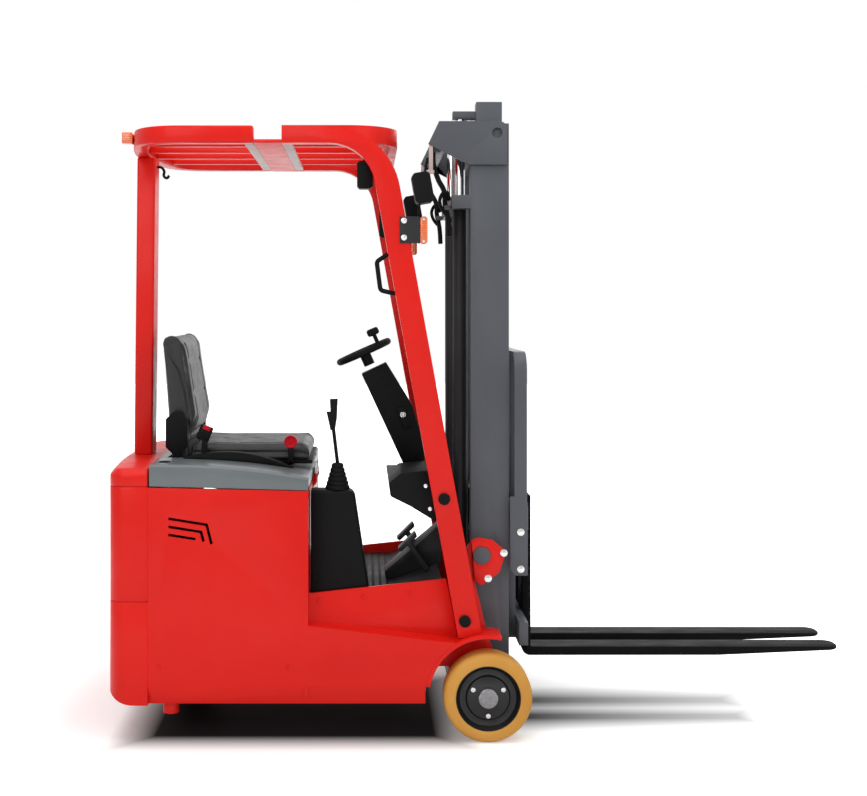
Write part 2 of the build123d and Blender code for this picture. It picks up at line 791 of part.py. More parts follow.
def roof_loop(rear_x, front_x):
    # Rails round the roof between two places along the truck.
    with BuildSketch() as loop:
        add(guard_plan())
        offset(guard_plan(), amount=-RAIL_W, mode=Mode.SUBTRACT)
        with Locations(((rear_x + front_x) / 2, 0)):
            Rectangle(front_x - rear_x, 2 * GUARD_HALF + 10, mode=Mode.INTERSECT)
    return loop.sketch


def pillar_x(z):
    # Rear edge of a pillar at a height.
    return PILLAR_FOOT_X - PILLAR_SLOPE * (z - PILLAR_FOOT_Z)


# Guard front: roof loop ahead of the trough, bending down into both pillars
with BuildPart() as guard_front:
    with BuildSketch(Plane.XY.offset(rail_bottom_z)):
        add(roof_loop(TROUGH_FRONT_X, GUARD_FRONT_X + 10))
    extrude(amount=RAIL_H)
    with BuildSketch(side_plane(GUARD_HALF - RAIL_W)):
        with BuildLine():
            top = FilletPolyline(
                (BEND_START_X, GUARD_TOP_Z),
                (pillar_x(GUARD_TOP_Z) + PILLAR_W, GUARD_TOP_Z),
                (pillar_x(PILLAR_FOOT_Z) + PILLAR_W, PILLAR_FOOT_Z),
                radius=BEND_OUTER_R,
            )
            foot = Line(top @ 1, (pillar_x(PILLAR_FOOT_Z), PILLAR_FOOT_Z))
            under = FilletPolyline(
                foot @ 1,
                (pillar_x(rail_bottom_z), rail_bottom_z),
                (BEND_START_X, rail_bottom_z),
                radius=BEND_INNER_R,
            )
            Line(under @ 1, top @ 0)
        make_face()
        with Locations((0, FRONT_TYRE_R)):
            Circle(ARCH_R + 1, mode=Mode.SUBTRACT)
    extrude(amount=RAIL_W)
    mirror(about=Plane.XZ)
finish(guard_front.part, "guard_front")

# Guard rear: the loop behind the trough
with BuildPart() as guard_rear:
    with BuildSketch(Plane.XY.offset(rail_bottom_z)):
        add(roof_loop(GUARD_REAR_X - 10, TROUGH_REAR_X))
    extrude(amount=RAIL_H)
finish(guard_rear.part, "guard_rear")

# Trough plate across the roof with the bars along it
with BuildPart() as guard_bars:
    with BuildSketch(Plane.XY.offset(rail_bottom_z)):
        with Locations(((TROUGH_REAR_X + TROUGH_FRONT_X) / 2, 0)):
            Rectangle(TROUGH_FRONT_X - TROUGH_REAR_X, 2 * GUARD_HALF)
    extrude(amount=TROUGH_T)
    with BuildSketch(Plane.XY.offset(rail_bottom_z + TROUGH_T)):
        bar_l = GUARD_FRONT_X - GUARD_REAR_X
        with Locations((GUARD_FRONT_X - bar_l / 2, 0)):
            with GridLocations(0, BAR_PITCH, 1, 4):
                Rectangle(bar_l, GUARD_BAR_W)
        add(guard_plan(), mode=Mode.INTERSECT)
    extrude(amount=GUARD_BAR_H)
    add(guard_front.part, mode=Mode.SUBTRACT)
    add(guard_rear.part, mode=Mode.SUBTRACT)
finish(guard_bars.part, "guard_bars")

# Flat strips either side of the trough, under the bars
with BuildPart() as guard_strips:
    with BuildSketch(Plane.XY.offset(rail_bottom_z)):
        with Locations((TROUGH_REAR_X - STRIP_W / 2, 0), (TROUGH_FRONT_X + STRIP_W / 2, 0)):
            Rectangle(STRIP_W, 2 * (GUARD_HALF - RAIL_W))
    extrude(amount=TROUGH_T)
finish(guard_strips.part, "guard_strips")

# Single rear post, leaning slightly forward
with BuildPart() as rear_post:
    with BuildSketch(side_plane(-POST_W / 2)):
        with BuildLine():
            Polyline(
                (POST_BASE_REAR_X, REAR_TOP_Z),
                (POST_BASE_REAR_X + POST_BASE_D, REAR_TOP_Z),
                (POST_BASE_REAR_X + POST_BASE_D + POST_LEAN, rail_bottom_z),
                (POST_BASE_REAR_X + POST_LEAN, rail_bottom_z),
                close=True,
            )
        make_face()
    extrude(amount=POST_W)
    fillet(rear_post.edges().filter_by(lambda edge: edge.length > 900), 8)
finish(rear_post.part, "rear_post")

# Trunnion caps bolted outside the legs round the pins
with BuildPart() as trunnion_caps:
    with BuildSketch(side_plane(LEG_OUT)):
        with BuildLine():
            Polyline(*[(PIVOT_X + x, PIVOT_Z + z) for x, z in CAP_OUTLINE], close=True)
        make_face()
        with Locations((PIVOT_X, PIVOT_Z)):
            Circle(PIN_R + RUNNING_FIT, mode=Mode.SUBTRACT)
    extrude(amount=CAP_T)
    mirror(about=Plane.XZ)
finish(trunnion_caps.part, "trunnion_caps")

# Lamps on the pillars
with BuildPart() as lamp_brackets:
    with BuildSketch(side_plane(GUARD_HALF)):
        with Locations((-251, 1650)):
            Rectangle(66, 86)
    extrude(amount=4)
    with BuildSketch(side_plane(GUARD_HALF - 45)):
        with Locations((-220, 1650)):
            Rectangle(4, 86)
    extrude(amount=49)
    mirror(about=Plane.XZ)
finish(lamp_brackets.part, "lamp_brackets")

with BuildPart() as indicator_lamps:
    with BuildSketch(side_plane(GUARD_HALF - 42)):
        with Locations((-206, 1649)):
            chamfer(Rectangle(24, 89).vertices(), 6)
    extrude(amount=44)
    mirror(about=Plane.XZ)
finish(indicator_lamps.part, "indicator_lamps")

with BuildPart() as headlights:
    with BuildSketch(side_plane(GUARD_HALF - 48)):
        with Locations(Location((-210, 1785, 0), (0, 0, 10))):
            chamfer(Rectangle(60, 100).vertices(), 10)
    extrude(amount=80)
    with BuildSketch(side_plane(GUARD_HALF - 20)):
        with Locations((-221, 1718)):
            Rectangle(10, 50)
    extrude(amount=10)
    mirror(about=Plane.XZ)
finish(headlights.part, "headlights")

with BuildPart() as rear_lamps:
    with BuildSketch(side_plane(230)):
        with Locations((GUARD_REAR_SIDE_X - 28, rail_bottom_z + 38)):
            Rectangle(36, 38)
    extrude(amount=44)
    add(guard_rear.part, mode=Mode.SUBTRACT)
    mirror(about=Plane.XZ)
finish(rear_lamps.part, "rear_lamps")

with BuildPart() as work_lamp:
    with BuildSketch(side_plane(GUARD_HALF - RAIL_W - 54)):
        with Locations((-396, 1834)):
            lamp_face = Rectangle(52, 90)
        chamfer(lamp_face.vertices(), 8)
        with Locations((-396, 1905)):
            Rectangle(14, 60)
    extrude(amount=54)
    add(guard_front.part, mode=Mode.SUBTRACT)
finish(work_lamp.part, "work_lamp")

with BuildPart() as mirror_piece:
    with BuildSketch(Plane.XZ.offset(-(GUARD_HALF - RAIL_W - 32))):
        with Locations((-328, 1733)):
            chamfer(Rectangle(27, 130).vertices(), 8)
    extrude(amount=24)
    with BuildSketch(Plane.XZ.offset(-(GUARD_HALF - RAIL_W))):
        with Locations((-328, 1733)):
            Circle(9)
    extrude(amount=32)
finish(mirror_piece.part, "mirror")

# Grab handle behind the right pillar
with BuildPart() as grab_handle:
    with BuildLine():
        hold = FilletPolyline(
            (pillar_x(1573), -420, 1573),
            (-358, -420, 1548),
            (-346, -420, 1455),
            (pillar_x(1444), -420, 1444),
            radius=14,
        )
    with BuildSketch(Plane(origin=hold @ 0, z_dir=hold % 0)):
        RegularPolygon(HANDLE_R, 12)
    sweep()
    add(guard_front.part, mode=Mode.SUBTRACT)
finish(grab_handle.part, "grab_handle")


def hood_top(reach):
    # Three points on the curve of the hood's top, lowered by a reach.
    return (
        (SEAM_X + HOOD_GAP + reach, HOOD_REAR_TOP_Z - reach),
        (HOOD_MID_X, HOOD_MID_TOP_Z - reach),
        (PANEL_FRONT_X - reach, HOOD_FRONT_TOP_Z - reach),
    )


def hood_side(reach):
    # Side view of the hood, drawn in by a reach.
    with BuildSketch() as side:
        with BuildLine():
            crown = ThreePointArc(*hood_top(reach))
            Polyline(
                crown @ 1,
                (PANEL_FRONT_X - reach, PANEL_FRONT_TOP_Z + 2),
                (SEAM_X + HOOD_GAP + reach, SEAM_Z + 2),
                crown @ 0,
            )
        make_face()
    return side.sketch


def seat_well(grow):
    # Side view of the well for the seat, open above and in front, grown by a wall.
    with BuildSketch() as well:
        with BuildLine():
            Polyline(
                (WELL_REAR_X - grow, WELL_FLOOR_Z - grow),
                (WELL_REAR_X - grow, HOOD_REAR_TOP_Z + HOOD_T),
                (PANEL_FRONT_X + HOOD_T, HOOD_REAR_TOP_Z + HOOD_T),
                (PANEL_FRONT_X + HOOD_T, WELL_FLOOR_Z - grow),
                close=True,
            )
        make_face()
    return well.sketch


well_half = SEAT_HALF + WELL_SIDE
with BuildPart() as hood_hollow:
    with BuildSketch(side_plane(HOOD_T - BODY_HALF)):
        add(hood_side(HOOD_T))
    extrude(amount=2 * (BODY_HALF - HOOD_T))
    with BuildSketch(side_plane(-well_half - HOOD_T)):
        add(seat_well(HOOD_T))
    extrude(amount=2 * (well_half + HOOD_T), mode=Mode.SUBTRACT)

# Hood: hollow lid over the battery, with a well for the seat and a hinge barrel along its front edge
with BuildPart() as hood:
    with BuildSketch(side_plane(-BODY_HALF)):
        add(hood_side(0))
    extrude(amount=2 * BODY_HALF)
    long_edges = hood.edges().filter_by(lambda edge: abs(edge.center().Y) > BODY_HALF - 1)
    chamfer(long_edges.sort_by(Axis.Z)[-2:], HOOD_EDGE)
    add(hood_hollow.part, mode=Mode.SUBTRACT)
    with BuildSketch(side_plane(-well_half)):
        add(seat_well(0))
    extrude(amount=2 * well_half, mode=Mode.SUBTRACT)
    with BuildSketch(side_plane(-HINGE_HALF)):
        with Locations((HINGE_X, HINGE_Z)):
            Circle(HINGE_R)
        with Locations(((HINGE_X + PANEL_FRONT_X) / 2, HINGE_Z + HINGE_R + 6)):
            Rectangle(HINGE_X - PANEL_FRONT_X, 26)
    extrude(amount=2 * HINGE_HALF)
finish(hood.part, "hood")

# Arched bolsters along the seat well
with BuildPart() as seat_base:
    with BuildSketch(side_plane(well_half)):
        with BuildLine():
            under = ThreePointArc(*hood_top(0))
            Polyline(
                under @ 1,
                (PANEL_FRONT_X, HOOD_REAR_TOP_Z + 2 * BOLSTER_RISE),
                (SEAM_X + HOOD_GAP, HOOD_REAR_TOP_Z + 2 * BOLSTER_RISE),
                under @ 0,
            )
        make_face()
    extrude(amount=SEAT_BASE_HALF - well_half)
    with BuildSketch(side_plane(well_half)):
        with BuildLine():
            over = ThreePointArc(
                (SEAM_X + 50, HOOD_REAR_TOP_Z - 13),
                (HOOD_MID_X + 35, HOOD_MID_TOP_Z + BOLSTER_RISE),
                (PANEL_FRONT_X - 36, HOOD_FRONT_TOP_Z - 1),
            )
            Line(over @ 0, over @ 1)
        make_face()
    extrude(amount=SEAT_BASE_HALF - well_half, mode=Mode.INTERSECT)
    mirror(about=Plane.XZ)
finish(seat_base.part, "seat_base")

# Seat pan with its rails and side covers
with BuildPart() as seat_frame:
    with BuildSketch(Plane.XY.offset(CUSHION_BOTTOM_Z - SEAT_PAN_T)):
        with Locations((SEAT_MID_X, 0)):
            Rectangle(SEAT_PAN_L, 2 * SEAT_HALF - 30)
        with Locations((COVER_X, 0)):
            Rectangle(24, 2 * (SEAT_HALF + COVER_GAP + COVER_T))
    extrude(amount=SEAT_PAN_T)
    with BuildSketch(Plane.XY.offset(WELL_FLOOR_Z)):
        with Locations((SEAT_MID_X, -150), (SEAT_MID_X, 150)):
            Rectangle(300, 40)
    extrude(amount=RAIL_RISE)
    with BuildSketch(side_plane(SEAT_HALF + COVER_GAP)):
        with Locations((COVER_X, CUSHION_TOP_Z)):
            Rectangle(24, 2 * (CUSHION_T + SEAT_PAN_T))
        with Locations((COVER_X, CUSHION_TOP_Z + COVER_RISE)):
            chamfer(Rectangle(74, 142).vertices(), 24)
    extrude(amount=COVER_T)
    mirror(about=Plane.XZ)
finish(seat_frame.part, "seat_frame")

# Cushions, closed and plain
with BuildPart() as seat_cushion:
    with BuildSketch(side_plane(-SEAT_HALF)):
        with BuildLine():
            nose = ThreePointArc(
                (CUSHION_FRONT_X - 36, CUSHION_TOP_Z),
                (CUSHION_FRONT_X, (CUSHION_TOP_Z + CUSHION_BOTTOM_Z) / 2),
                (CUSHION_FRONT_X - 18, CUSHION_BOTTOM_Z),
            )
            Polyline(
                nose @ 1,
                (CUSHION_REAR_X, CUSHION_BOTTOM_Z),
                (CUSHION_REAR_X, CUSHION_TOP_Z + 4),
                (CUSHION_REAR_X + 101, CUSHION_TOP_Z),
                nose @ 0,
            )
        make_face()
    extrude(amount=2 * SEAT_HALF)
finish(seat_cushion.part, "seat_cushion")

with BuildPart() as seat_back:
    with BuildSketch(side_plane(-SEAT_HALF)):
        with BuildLine():
            back = ThreePointArc((-1055, CUSHION_BOTTOM_Z), (-1071, 1110), (-1090, 1278))
            crest = ThreePointArc(back @ 1, (-1060, 1312), (-1022, 1292))
            front = ThreePointArc(crest @ 1, (-999, 1160), (-976, 1030))
            foot = ThreePointArc(front @ 1, (-980, 990), (-1003, CUSHION_TOP_Z + 40))
            Polyline(foot @ 1, (CUSHION_REAR_X - 3, CUSHION_BOTTOM_Z), back @ 0)
        make_face()
    extrude(amount=2 * SEAT_HALF)
finish(seat_back.part, "seat_back")

# Belt buckle and release knob beside the seat
with BuildPart() as seat_controls:
    with BuildSketch(side_plane(SEAT_HALF + COVER_GAP)):
        with Locations((BUCKLE_X, CUSHION_TOP_Z + COVER_RISE)):
            chamfer(Rectangle(46, 54).vertices(), 6)
        with Locations((KNOB_X, CUSHION_TOP_Z + 17)):
            RegularPolygon(24, 16)
        with Locations((BUCKLE_X, CUSHION_TOP_Z - 10), (KNOB_X, CUSHION_TOP_Z - 25)):
            Rectangle(20, 2 * (CUSHION_T + SEAT_PAN_T) - 20)
    extrude(amount=COVER_T)
    with BuildSketch(side_plane(SEAT_HALF - 15)):
        with Locations((BUCKLE_X, CUSHION_BOTTOM_Z - 6), (KNOB_X, CUSHION_BOTTOM_Z - 6)):
            Rectangle(20, SEAT_PAN_T)
    extrude(amount=COVER_T + 15)
finish(seat_controls.part, "seat_controls")


def front_tyre(side):
    # Tyre with bevelled shoulders, seated on its rim.
    middle = side * (TRACK_OUTER - FRONT_TYRE_W / 2)
    with BuildPart() as tyre:
        with BuildSketch(Plane.YZ):
            with Locations((middle, FRONT_TYRE_R + (FRONT_TYRE_R + FRONT_RIM_R) / 2)):
                section = Rectangle(FRONT_TYRE_W, FRONT_TYRE_R - FRONT_RIM_R)
            chamfer(section.vertices().group_by(Axis.Y)[-1], TYRE_ROUND)
        revolve(axis=Axis((0, 0, FRONT_TYRE_R), (0, 1, 0)))
    return tyre.part


def front_hub(side):
    # Dished hub with a raised cap outside and a bore for the stub inside.
    inner = TRACK_OUTER - FRONT_TYRE_W + HUB_RECESS
    dish = TRACK_OUTER - HUB_DISH
    cap = TRACK_OUTER - HUB_CAP_DEPTH
    bore_end = TRACK_OUTER - HUB_BORE_END
    with BuildPart() as hub:
        with BuildSketch(Plane.YZ):
            with BuildLine():
                Polyline(
                    (side * inner, FRONT_TYRE_R + STUB_R + RUNNING_FIT),
                    (side * inner, FRONT_TYRE_R + FRONT_RIM_R),
                    (side * (TRACK_OUTER - HUB_RECESS), FRONT_TYRE_R + FRONT_RIM_R),
                    (side * dish, FRONT_TYRE_R + FRONT_RIM_R - HUB_LIP),
                    (side * dish, FRONT_TYRE_R + HUB_CAP_R),
                    (side * cap, FRONT_TYRE_R + HUB_CAP_R - 4),
                    (side * cap, FRONT_TYRE_R + HUB_DOME_R),
                    (side * (TRACK_OUTER - 3), FRONT_TYRE_R + HUB_DOME_R - 10),
                    (side * (TRACK_OUTER - 3), FRONT_TYRE_R),
                    (side * bore_end, FRONT_TYRE_R),
                    (side * bore_end, FRONT_TYRE_R + STUB_R + RUNNING_FIT),
                    close=True,
                )
            make_face()
        revolve(axis=Axis((0, 0, FRONT_TYRE_R), (0, 1, 0)))
    return hub.part


for side, name in ((-1, "right"), (1, "left")):
    finish(front_tyre(side), f"tyre_{name}")
    finish(front_hub(side), f"hub_{name}")

# Steered drive unit with its wheel
fork_top_z = 2 * REAR_TYRE_R + REAR_CLEAR
with BuildPart() as steer_unit:
    with BuildSketch(Plane.XY.offset(fork_top_z)):
        with Locations((-WHEEL_BASE, 0)):
            chamfer(Rectangle(STEER_PLATE, STEER_PLATE).vertices(), STEER_PLATE / 5)
    extrude(amount=STEER_PLATE_T)
    with BuildSketch(Plane.XY.offset(fork_top_z)):
        with Locations((-WHEEL_BASE, 0)):
            Circle(KING_PIN_R)
    extrude(amount=DRIVE_PLATE_Z + DRIVE_PLATE_T - 1 - fork_top_z)
    with BuildSketch(side_plane(REAR_TYRE_W / 2 + 10)):
        with BuildLine():
            Polyline(
                (-WHEEL_BASE - 60, fork_top_z),
                (-WHEEL_BASE + 60, fork_top_z),
                (-WHEEL_BASE + 28, REAR_TYRE_R - 25),
                (-WHEEL_BASE - 28, REAR_TYRE_R - 25),
                close=True,
            )
        make_face()
    extrude(amount=STEER_FORK_T)
    mirror(about=Plane.XZ)
    with BuildSketch(side_plane(-REAR_TYRE_W / 2 - 10)):
        with Locations((-WHEEL_BASE, REAR_TYRE_R)):
            Circle(REAR_AXLE_R)
    extrude(amount=REAR_TYRE_W + 20)
finish(steer_unit.part, "steer_unit")

with BuildPart() as rear_tyre:
    with BuildSketch(Plane.YZ.offset(-WHEEL_BASE)):
        with Locations((0, REAR_TYRE_R + (REAR_TYRE_R + REAR_RIM_R) / 2)):
            Rectangle(REAR_TYRE_W, REAR_TYRE_R - REAR_RIM_R)
    revolve(axis=Axis((-WHEEL_BASE, 0, REAR_TYRE_R), (0, 1, 0)))
finish(rear_tyre.part, "tyre_rear")

with BuildPart() as rear_hub:
    with BuildSketch(side_plane(-REAR_TYRE_W / 2 + 2)):
        with Locations((-WHEEL_BASE, REAR_TYRE_R)):
            Circle(REAR_RIM_R)
            Circle(REAR_AXLE_R + RUNNING_FIT, mode=Mode.SUBTRACT)
    extrude(amount=REAR_TYRE_W - 4)
finish(rear_hub.part, "hub_rear")

mast_front_x = MAST_REAR_X + MAST_DEPTH
flange_in = MAST_HALF - MAST_FLANGE
tilt_plate_x = TIE_REAR_X - 8
chain_mid_r = SHEAVE_R + CHAIN_T / 2 + CHAIN_SEAT
rear_run_x = SHEAVE_X - chain_mid_r
front_run_x = SHEAVE_X + chain_mid_r
rear_anchor_z = HIGH_TIE_Z + HIGH_TIE_H


def channel(rear_x, front_x, half, flange, web_t, flange_t):
    # Section of the right mast rail: a channel open to the middle.
    with BuildSketch() as section:
        with Locations(((rear_x + front_x) / 2, -half + web_t / 2)):
            Rectangle(front_x - rear_x, web_t)
        for middle in (rear_x + flange_t / 2, front_x - flange_t / 2):
            with Locations((middle, -half + flange / 2)):
                Rectangle(flange_t, flange)
    return section.sketch


def chain_edge(length):
    # Half outline of leaf chain plates along a length: wide at each pin, waisted between pins.
    steps = 2 * round(length / CHAIN_PITCH)
    return [(length * step / steps, (CHAIN_WAIST if step % 2 else CHAIN_T) / 2) for step in range(steps + 1)]


def chain_run(x, low_z, high_z):
    # Side view of a straight run of leaf chain.
    edge = chain_edge(high_z - low_z)
    with BuildSketch() as run:
        with BuildLine():
            ahead = [(x + half, low_z + along) for along, half in edge]
            behind = [(x - half, low_z + along) for along, half in reversed(edge)]
            Polyline(*ahead, *behind, close=True)
        make_face()
    return run.sketch


def chain_over_sheave():
    # Side view of the chain lying over a sheave, from its rear run to its front run.
    with BuildSketch() as over:
        with BuildLine():
            rings = ([], [])
            for along, half in chain_edge(math.pi * chain_mid_r):
                turn = along / chain_mid_r
                for ring, reach in zip(rings, (chain_mid_r + half, chain_mid_r - half)):
                    ring.append((SHEAVE_X + reach * math.cos(turn), SHEAVE_Z + reach * math.sin(turn)))
            Polyline(*rings[0], *reversed(rings[1]), close=True)
        make_face()
    return over.sketch


def anchors(x, clevis_z):
    # Chain anchors: a clevis on each side's plate with its threaded rod and nut below.
    with BuildPart() as pair:
        for y in (-SHEAVE_Y, SHEAVE_Y):
            with BuildSketch(Plane.XY.offset(clevis_z)):
                with Locations((x, y)):
                    Rectangle(CHAIN_T + 4, CLEVIS_W)
            extrude(amount=CLEVIS_H)
            with BuildSketch(Plane.XY.offset(clevis_z - ANCHOR_ROD_L)):
                with Locations((x, y)):
                    Circle(ANCHOR_ROD_R)
            extrude(amount=ANCHOR_ROD_L + 5)
            with BuildSketch(Plane.XY.offset(clevis_z - ANCHOR_ROD_L + 8)):
                with Locations((x, y)):
                    RegularPolygon(NUT_R, 6)
            extrude(amount=NUT_H)
    return pair.part


# Outer mast: two channels, ties behind them, trunnion pins, tilt lugs and chain anchors
with BuildPart() as outer_mast:
    with BuildSketch(Plane.XY.offset(MAST_BOTTOM_Z)):
        add(channel(MAST_REAR_X, mast_front_x, MAST_HALF, MAST_FLANGE, MAST_WEB_T, MAST_FLANGE_T))
    extrude(amount=MAST_TOP_Z - MAST_BOTTOM_Z)
    for tie_z, tie_h in ((LOW_TIE_Z, LOW_TIE_H), (HIGH_TIE_Z, HIGH_TIE_H)):
        with BuildSketch(Plane.XY.offset(tie_z)):
            with Locations(((TIE_REAR_X + TIE_FRONT_X) / 2, -MAST_HALF / 2)):
                Rectangle(TIE_FRONT_X - TIE_REAR_X, MAST_HALF)
            with Locations(((TIE_FRONT_X + MAST_REAR_X) / 2, -(MAST_HALF + flange_in) / 2)):
                Rectangle(MAST_REAR_X - TIE_FRONT_X, MAST_FLANGE)
        extrude(amount=tie_h)
    plate_side = flange_in + 22
    with BuildSketch(Plane.XY.offset(TILT_Z - TILT_PLATE_HALF)):
        with Locations((tilt_plate_x, -MAST_HALF / 2)):
            Rectangle(TILT_PLATE_T, MAST_HALF)
        with Locations(((TIE_REAR_X + MAST_REAR_X) / 2, -(MAST_HALF + plate_side) / 2)):
            Rectangle(MAST_REAR_X - TIE_REAR_X, MAST_HALF - plate_side)
    extrude(amount=2 * TILT_PLATE_HALF)
    for lug_y in (TILT_Y - EYE_W / 2 - LUG_GAP - LUG_T, TILT_Y + EYE_W / 2 + LUG_GAP):
        with BuildSketch(side_plane(lug_y)):
            with Locations(((TILT_EYE_X - LUG_HALF + tilt_plate_x) / 2, TILT_Z)):
                lug = Rectangle(tilt_plate_x - TILT_EYE_X + LUG_HALF, 2 * LUG_HALF)
            chamfer(lug.vertices().group_by(Axis.X)[0], LUG_HALF / 2)
        extrude(amount=LUG_T)
    with BuildSketch(side_plane(TILT_Y - EYE_W / 2 - LUG_GAP)):
        with Locations((TILT_EYE_X, TILT_Z)):
            Circle(TILT_PIN_R)
    extrude(amount=EYE_W + 2 * LUG_GAP)
    with BuildSketch(side_plane(MAST_HALF)):
        with Locations((PIVOT_X, PIVOT_Z)):
            Circle(PIN_R)
    extrude(amount=LEG_OUT + PIN_PROUD - MAST_HALF)
    with BuildSketch(Plane.XY.offset(HIGH_TIE_Z)):
        with Locations((LIFT_X, -LIFT_Y)):
            Circle(LIFT_ROD_R + LIFT_BORE_CLEAR)
    extrude(amount=HIGH_TIE_H, mode=Mode.SUBTRACT)
    mirror(about=Plane.XZ)
    add(anchors(rear_run_x, rear_anchor_z))
finish(outer_mast.part, "outer_mast")

# Head brackets beside the mast's top, tied behind it
head_top_z = MAST_TOP_Z + BRACKET_RISE
head_low_z = head_top_z - BRACKET_H
head_front_x = mast_front_x - 7
with BuildPart() as head_brackets:
    with BuildSketch(side_plane(MAST_HALF)):
        with BuildLine():
            Polyline(
                (BRACKET_REAR_X + 36, head_top_z),
                (head_front_x, head_top_z),
                (head_front_x, head_low_z),
                (MAST_REAR_X - 5, head_low_z),
                (MAST_REAR_X - 41, head_low_z + 17),
                (BRACKET_REAR_X, head_low_z + 69),
                close=True,
            )
        outline = make_face()
        fillet(outline.vertices().sort_by_distance((head_front_x, head_top_z, 0))[0], BRACKET_ROUND)
        with Locations((head_front_x - 33, head_top_z - 39)):
            Circle(BRACKET_HOLE_R, mode=Mode.SUBTRACT)
    extrude(amount=BRACKET_T)
    mirror(about=Plane.XZ)
    with BuildSketch(side_plane(-MAST_HALF)):
        with Locations((BRACKET_REAR_X + 48, head_low_z + 74)):
            Rectangle(24, 44)
    extrude(amount=2 * MAST_HALF)
finish(head_brackets.part, "head_brackets")

# Lift cylinders
with BuildPart() as lift_barrels:
    with BuildSketch(Plane.XY.offset(LOW_TIE_Z + LOW_TIE_H)):
        with Locations((LIFT_X, -LIFT_Y), (LIFT_X, LIFT_Y)):
            Circle(LIFT_BARREL_R)
    extrude(amount=HIGH_TIE_Z - LOW_TIE_Z - LOW_TIE_H)
    with BuildSketch(Plane.XY.offset(LOW_TIE_Z + LOW_TIE_H + 15)):
        with Locations((LIFT_X, -LIFT_Y), (LIFT_X, LIFT_Y)):
            Circle(LIFT_ROD_R + LIFT_BORE_CLEAR)
    extrude(amount=HIGH_TIE_Z - LOW_TIE_Z - LOW_TIE_H, mode=Mode.SUBTRACT)
finish(lift_barrels.part, "lift_barrels")

inner_half = MAST_HALF - MAST_WEB_T - WEB_GAP
inner_rear_x = MAST_REAR_X + MAST_FLANGE_T + RAIL_GAP
inner_front_x = mast_front_x - MAST_FLANGE_T - RAIL_GAP
inner_in = inner_half - INNER_FLANGE
cross_rear_x = inner_rear_x - 20
cross_front_x = inner_rear_x + 8
yoke_z = INNER_TOP_Z - YOKE_DROP
yoke_out = flange_in - YOKE_CLEAR
upper_tie_z = SHEAVE_Z - 125
cheek_in = SHEAVE_Y - SHEAVE_W / 2 - CHEEK_GAP - CHEEK_T

# Inner mast: channels, ties, rod yokes and sheave cheeks
with BuildPart() as inner_mast:
    with BuildSketch(Plane.XY.offset(INNER_BOTTOM_Z)):
        add(channel(inner_rear_x, inner_front_x, inner_half, INNER_FLANGE, INNER_WEB_T, INNER_WEB_T))
    extrude(amount=INNER_TOP_Z - INNER_BOTTOM_Z)
    for tie_z, tie_h in ((INNER_BOTTOM_Z + 15, 80), (upper_tie_z, 65)):
        with BuildSketch(Plane.XY.offset(tie_z)):
            with Locations(((cross_rear_x + cross_front_x) / 2, -(inner_in + 6) / 2)):
                Rectangle(cross_front_x - cross_rear_x, inner_in + 6)
        extrude(amount=tie_h)
    with BuildSketch(Plane.XY.offset(yoke_z)):
        yoke_rear_x = LIFT_X - LIFT_ROD_R - 8
        yoke_front_x = inner_rear_x + 4
        with Locations(((yoke_rear_x + yoke_front_x) / 2, -(LIFT_Y - YOKE_IN + yoke_out) / 2)):
            Rectangle(yoke_front_x - yoke_rear_x, yoke_out - LIFT_Y + YOKE_IN)
    extrude(amount=YOKE_H)
    for cheek_y in (cheek_in, SHEAVE_Y + SHEAVE_W / 2 + CHEEK_GAP):
        with BuildSketch(side_plane(cheek_y)):
            with Locations((SHEAVE_X - 6, SHEAVE_Z - 30)):
                Rectangle(40, 100)
        extrude(amount=CHEEK_T)
    with BuildSketch(side_plane(cheek_in)):
        with Locations((SHEAVE_X, SHEAVE_Z)):
            Circle(SHEAVE_PIN_R)
    extrude(amount=SHEAVE_W + 2 * CHEEK_GAP + 2 * CHEEK_T)
    mirror(about=Plane.XZ)
finish(inner_mast.part, "inner_mast")

with BuildPart() as lift_rods:
    with BuildSketch(Plane.XY.offset(LIFT_ROD_LOW_Z)):
        with Locations((LIFT_X, -LIFT_Y), (LIFT_X, LIFT_Y)):
            Circle(LIFT_ROD_R)
    extrude(amount=yoke_z - LIFT_ROD_LOW_Z)
finish(lift_rods.part, "lift_rods")

with BuildPart() as sheaves:
    with BuildSketch(side_plane(SHEAVE_Y - SHEAVE_W / 2)):
        with Locations((SHEAVE_X, SHEAVE_Z)):
            Circle(SHEAVE_R)
            Circle(SHEAVE_PIN_R + RUNNING_FIT, mode=Mode.SUBTRACT)
    extrude(amount=SHEAVE_W)
    mirror(about=Plane.XZ)
finish(sheaves.part, "sheaves")


# Leaf chains: over the sheaves, down to the outer mast behind and to the carriage in front
with BuildPart() as chain_tops:
    with BuildSketch(side_plane(SHEAVE_Y - CHAIN_W / 2)):
        add(chain_over_sheave())
    extrude(amount=CHAIN_W)
    mirror(about=Plane.XZ)
finish(chain_tops.part, "chain_tops")

with BuildPart() as chain_rear_runs:
    with BuildSketch(side_plane(SHEAVE_Y - CHAIN_W / 2)):
        add(chain_run(rear_run_x, rear_anchor_z + CLEVIS_H, SHEAVE_Z))
    extrude(amount=CHAIN_W)
    mirror(about=Plane.XZ)
finish(chain_rear_runs.part, "chain_rear_runs")

with BuildPart() as chain_front_runs:
    with BuildSketch(side_plane(SHEAVE_Y - CHAIN_W / 2)):
        add(chain_run(front_run_x, CHAIN_LUG_Z + CLEVIS_H, SHEAVE_Z))
    extrude(amount=CHAIN_W)
    mirror(about=Plane.XZ)
finish(chain_front_runs.part, "chain_front_runs")

bar_rear_x = BAR_FRONT_X - BAR_T
roller_x = (inner_rear_x + inner_front_x) / 2
plate_top_z = HIGH_BAR_Z + BAR_H + 36

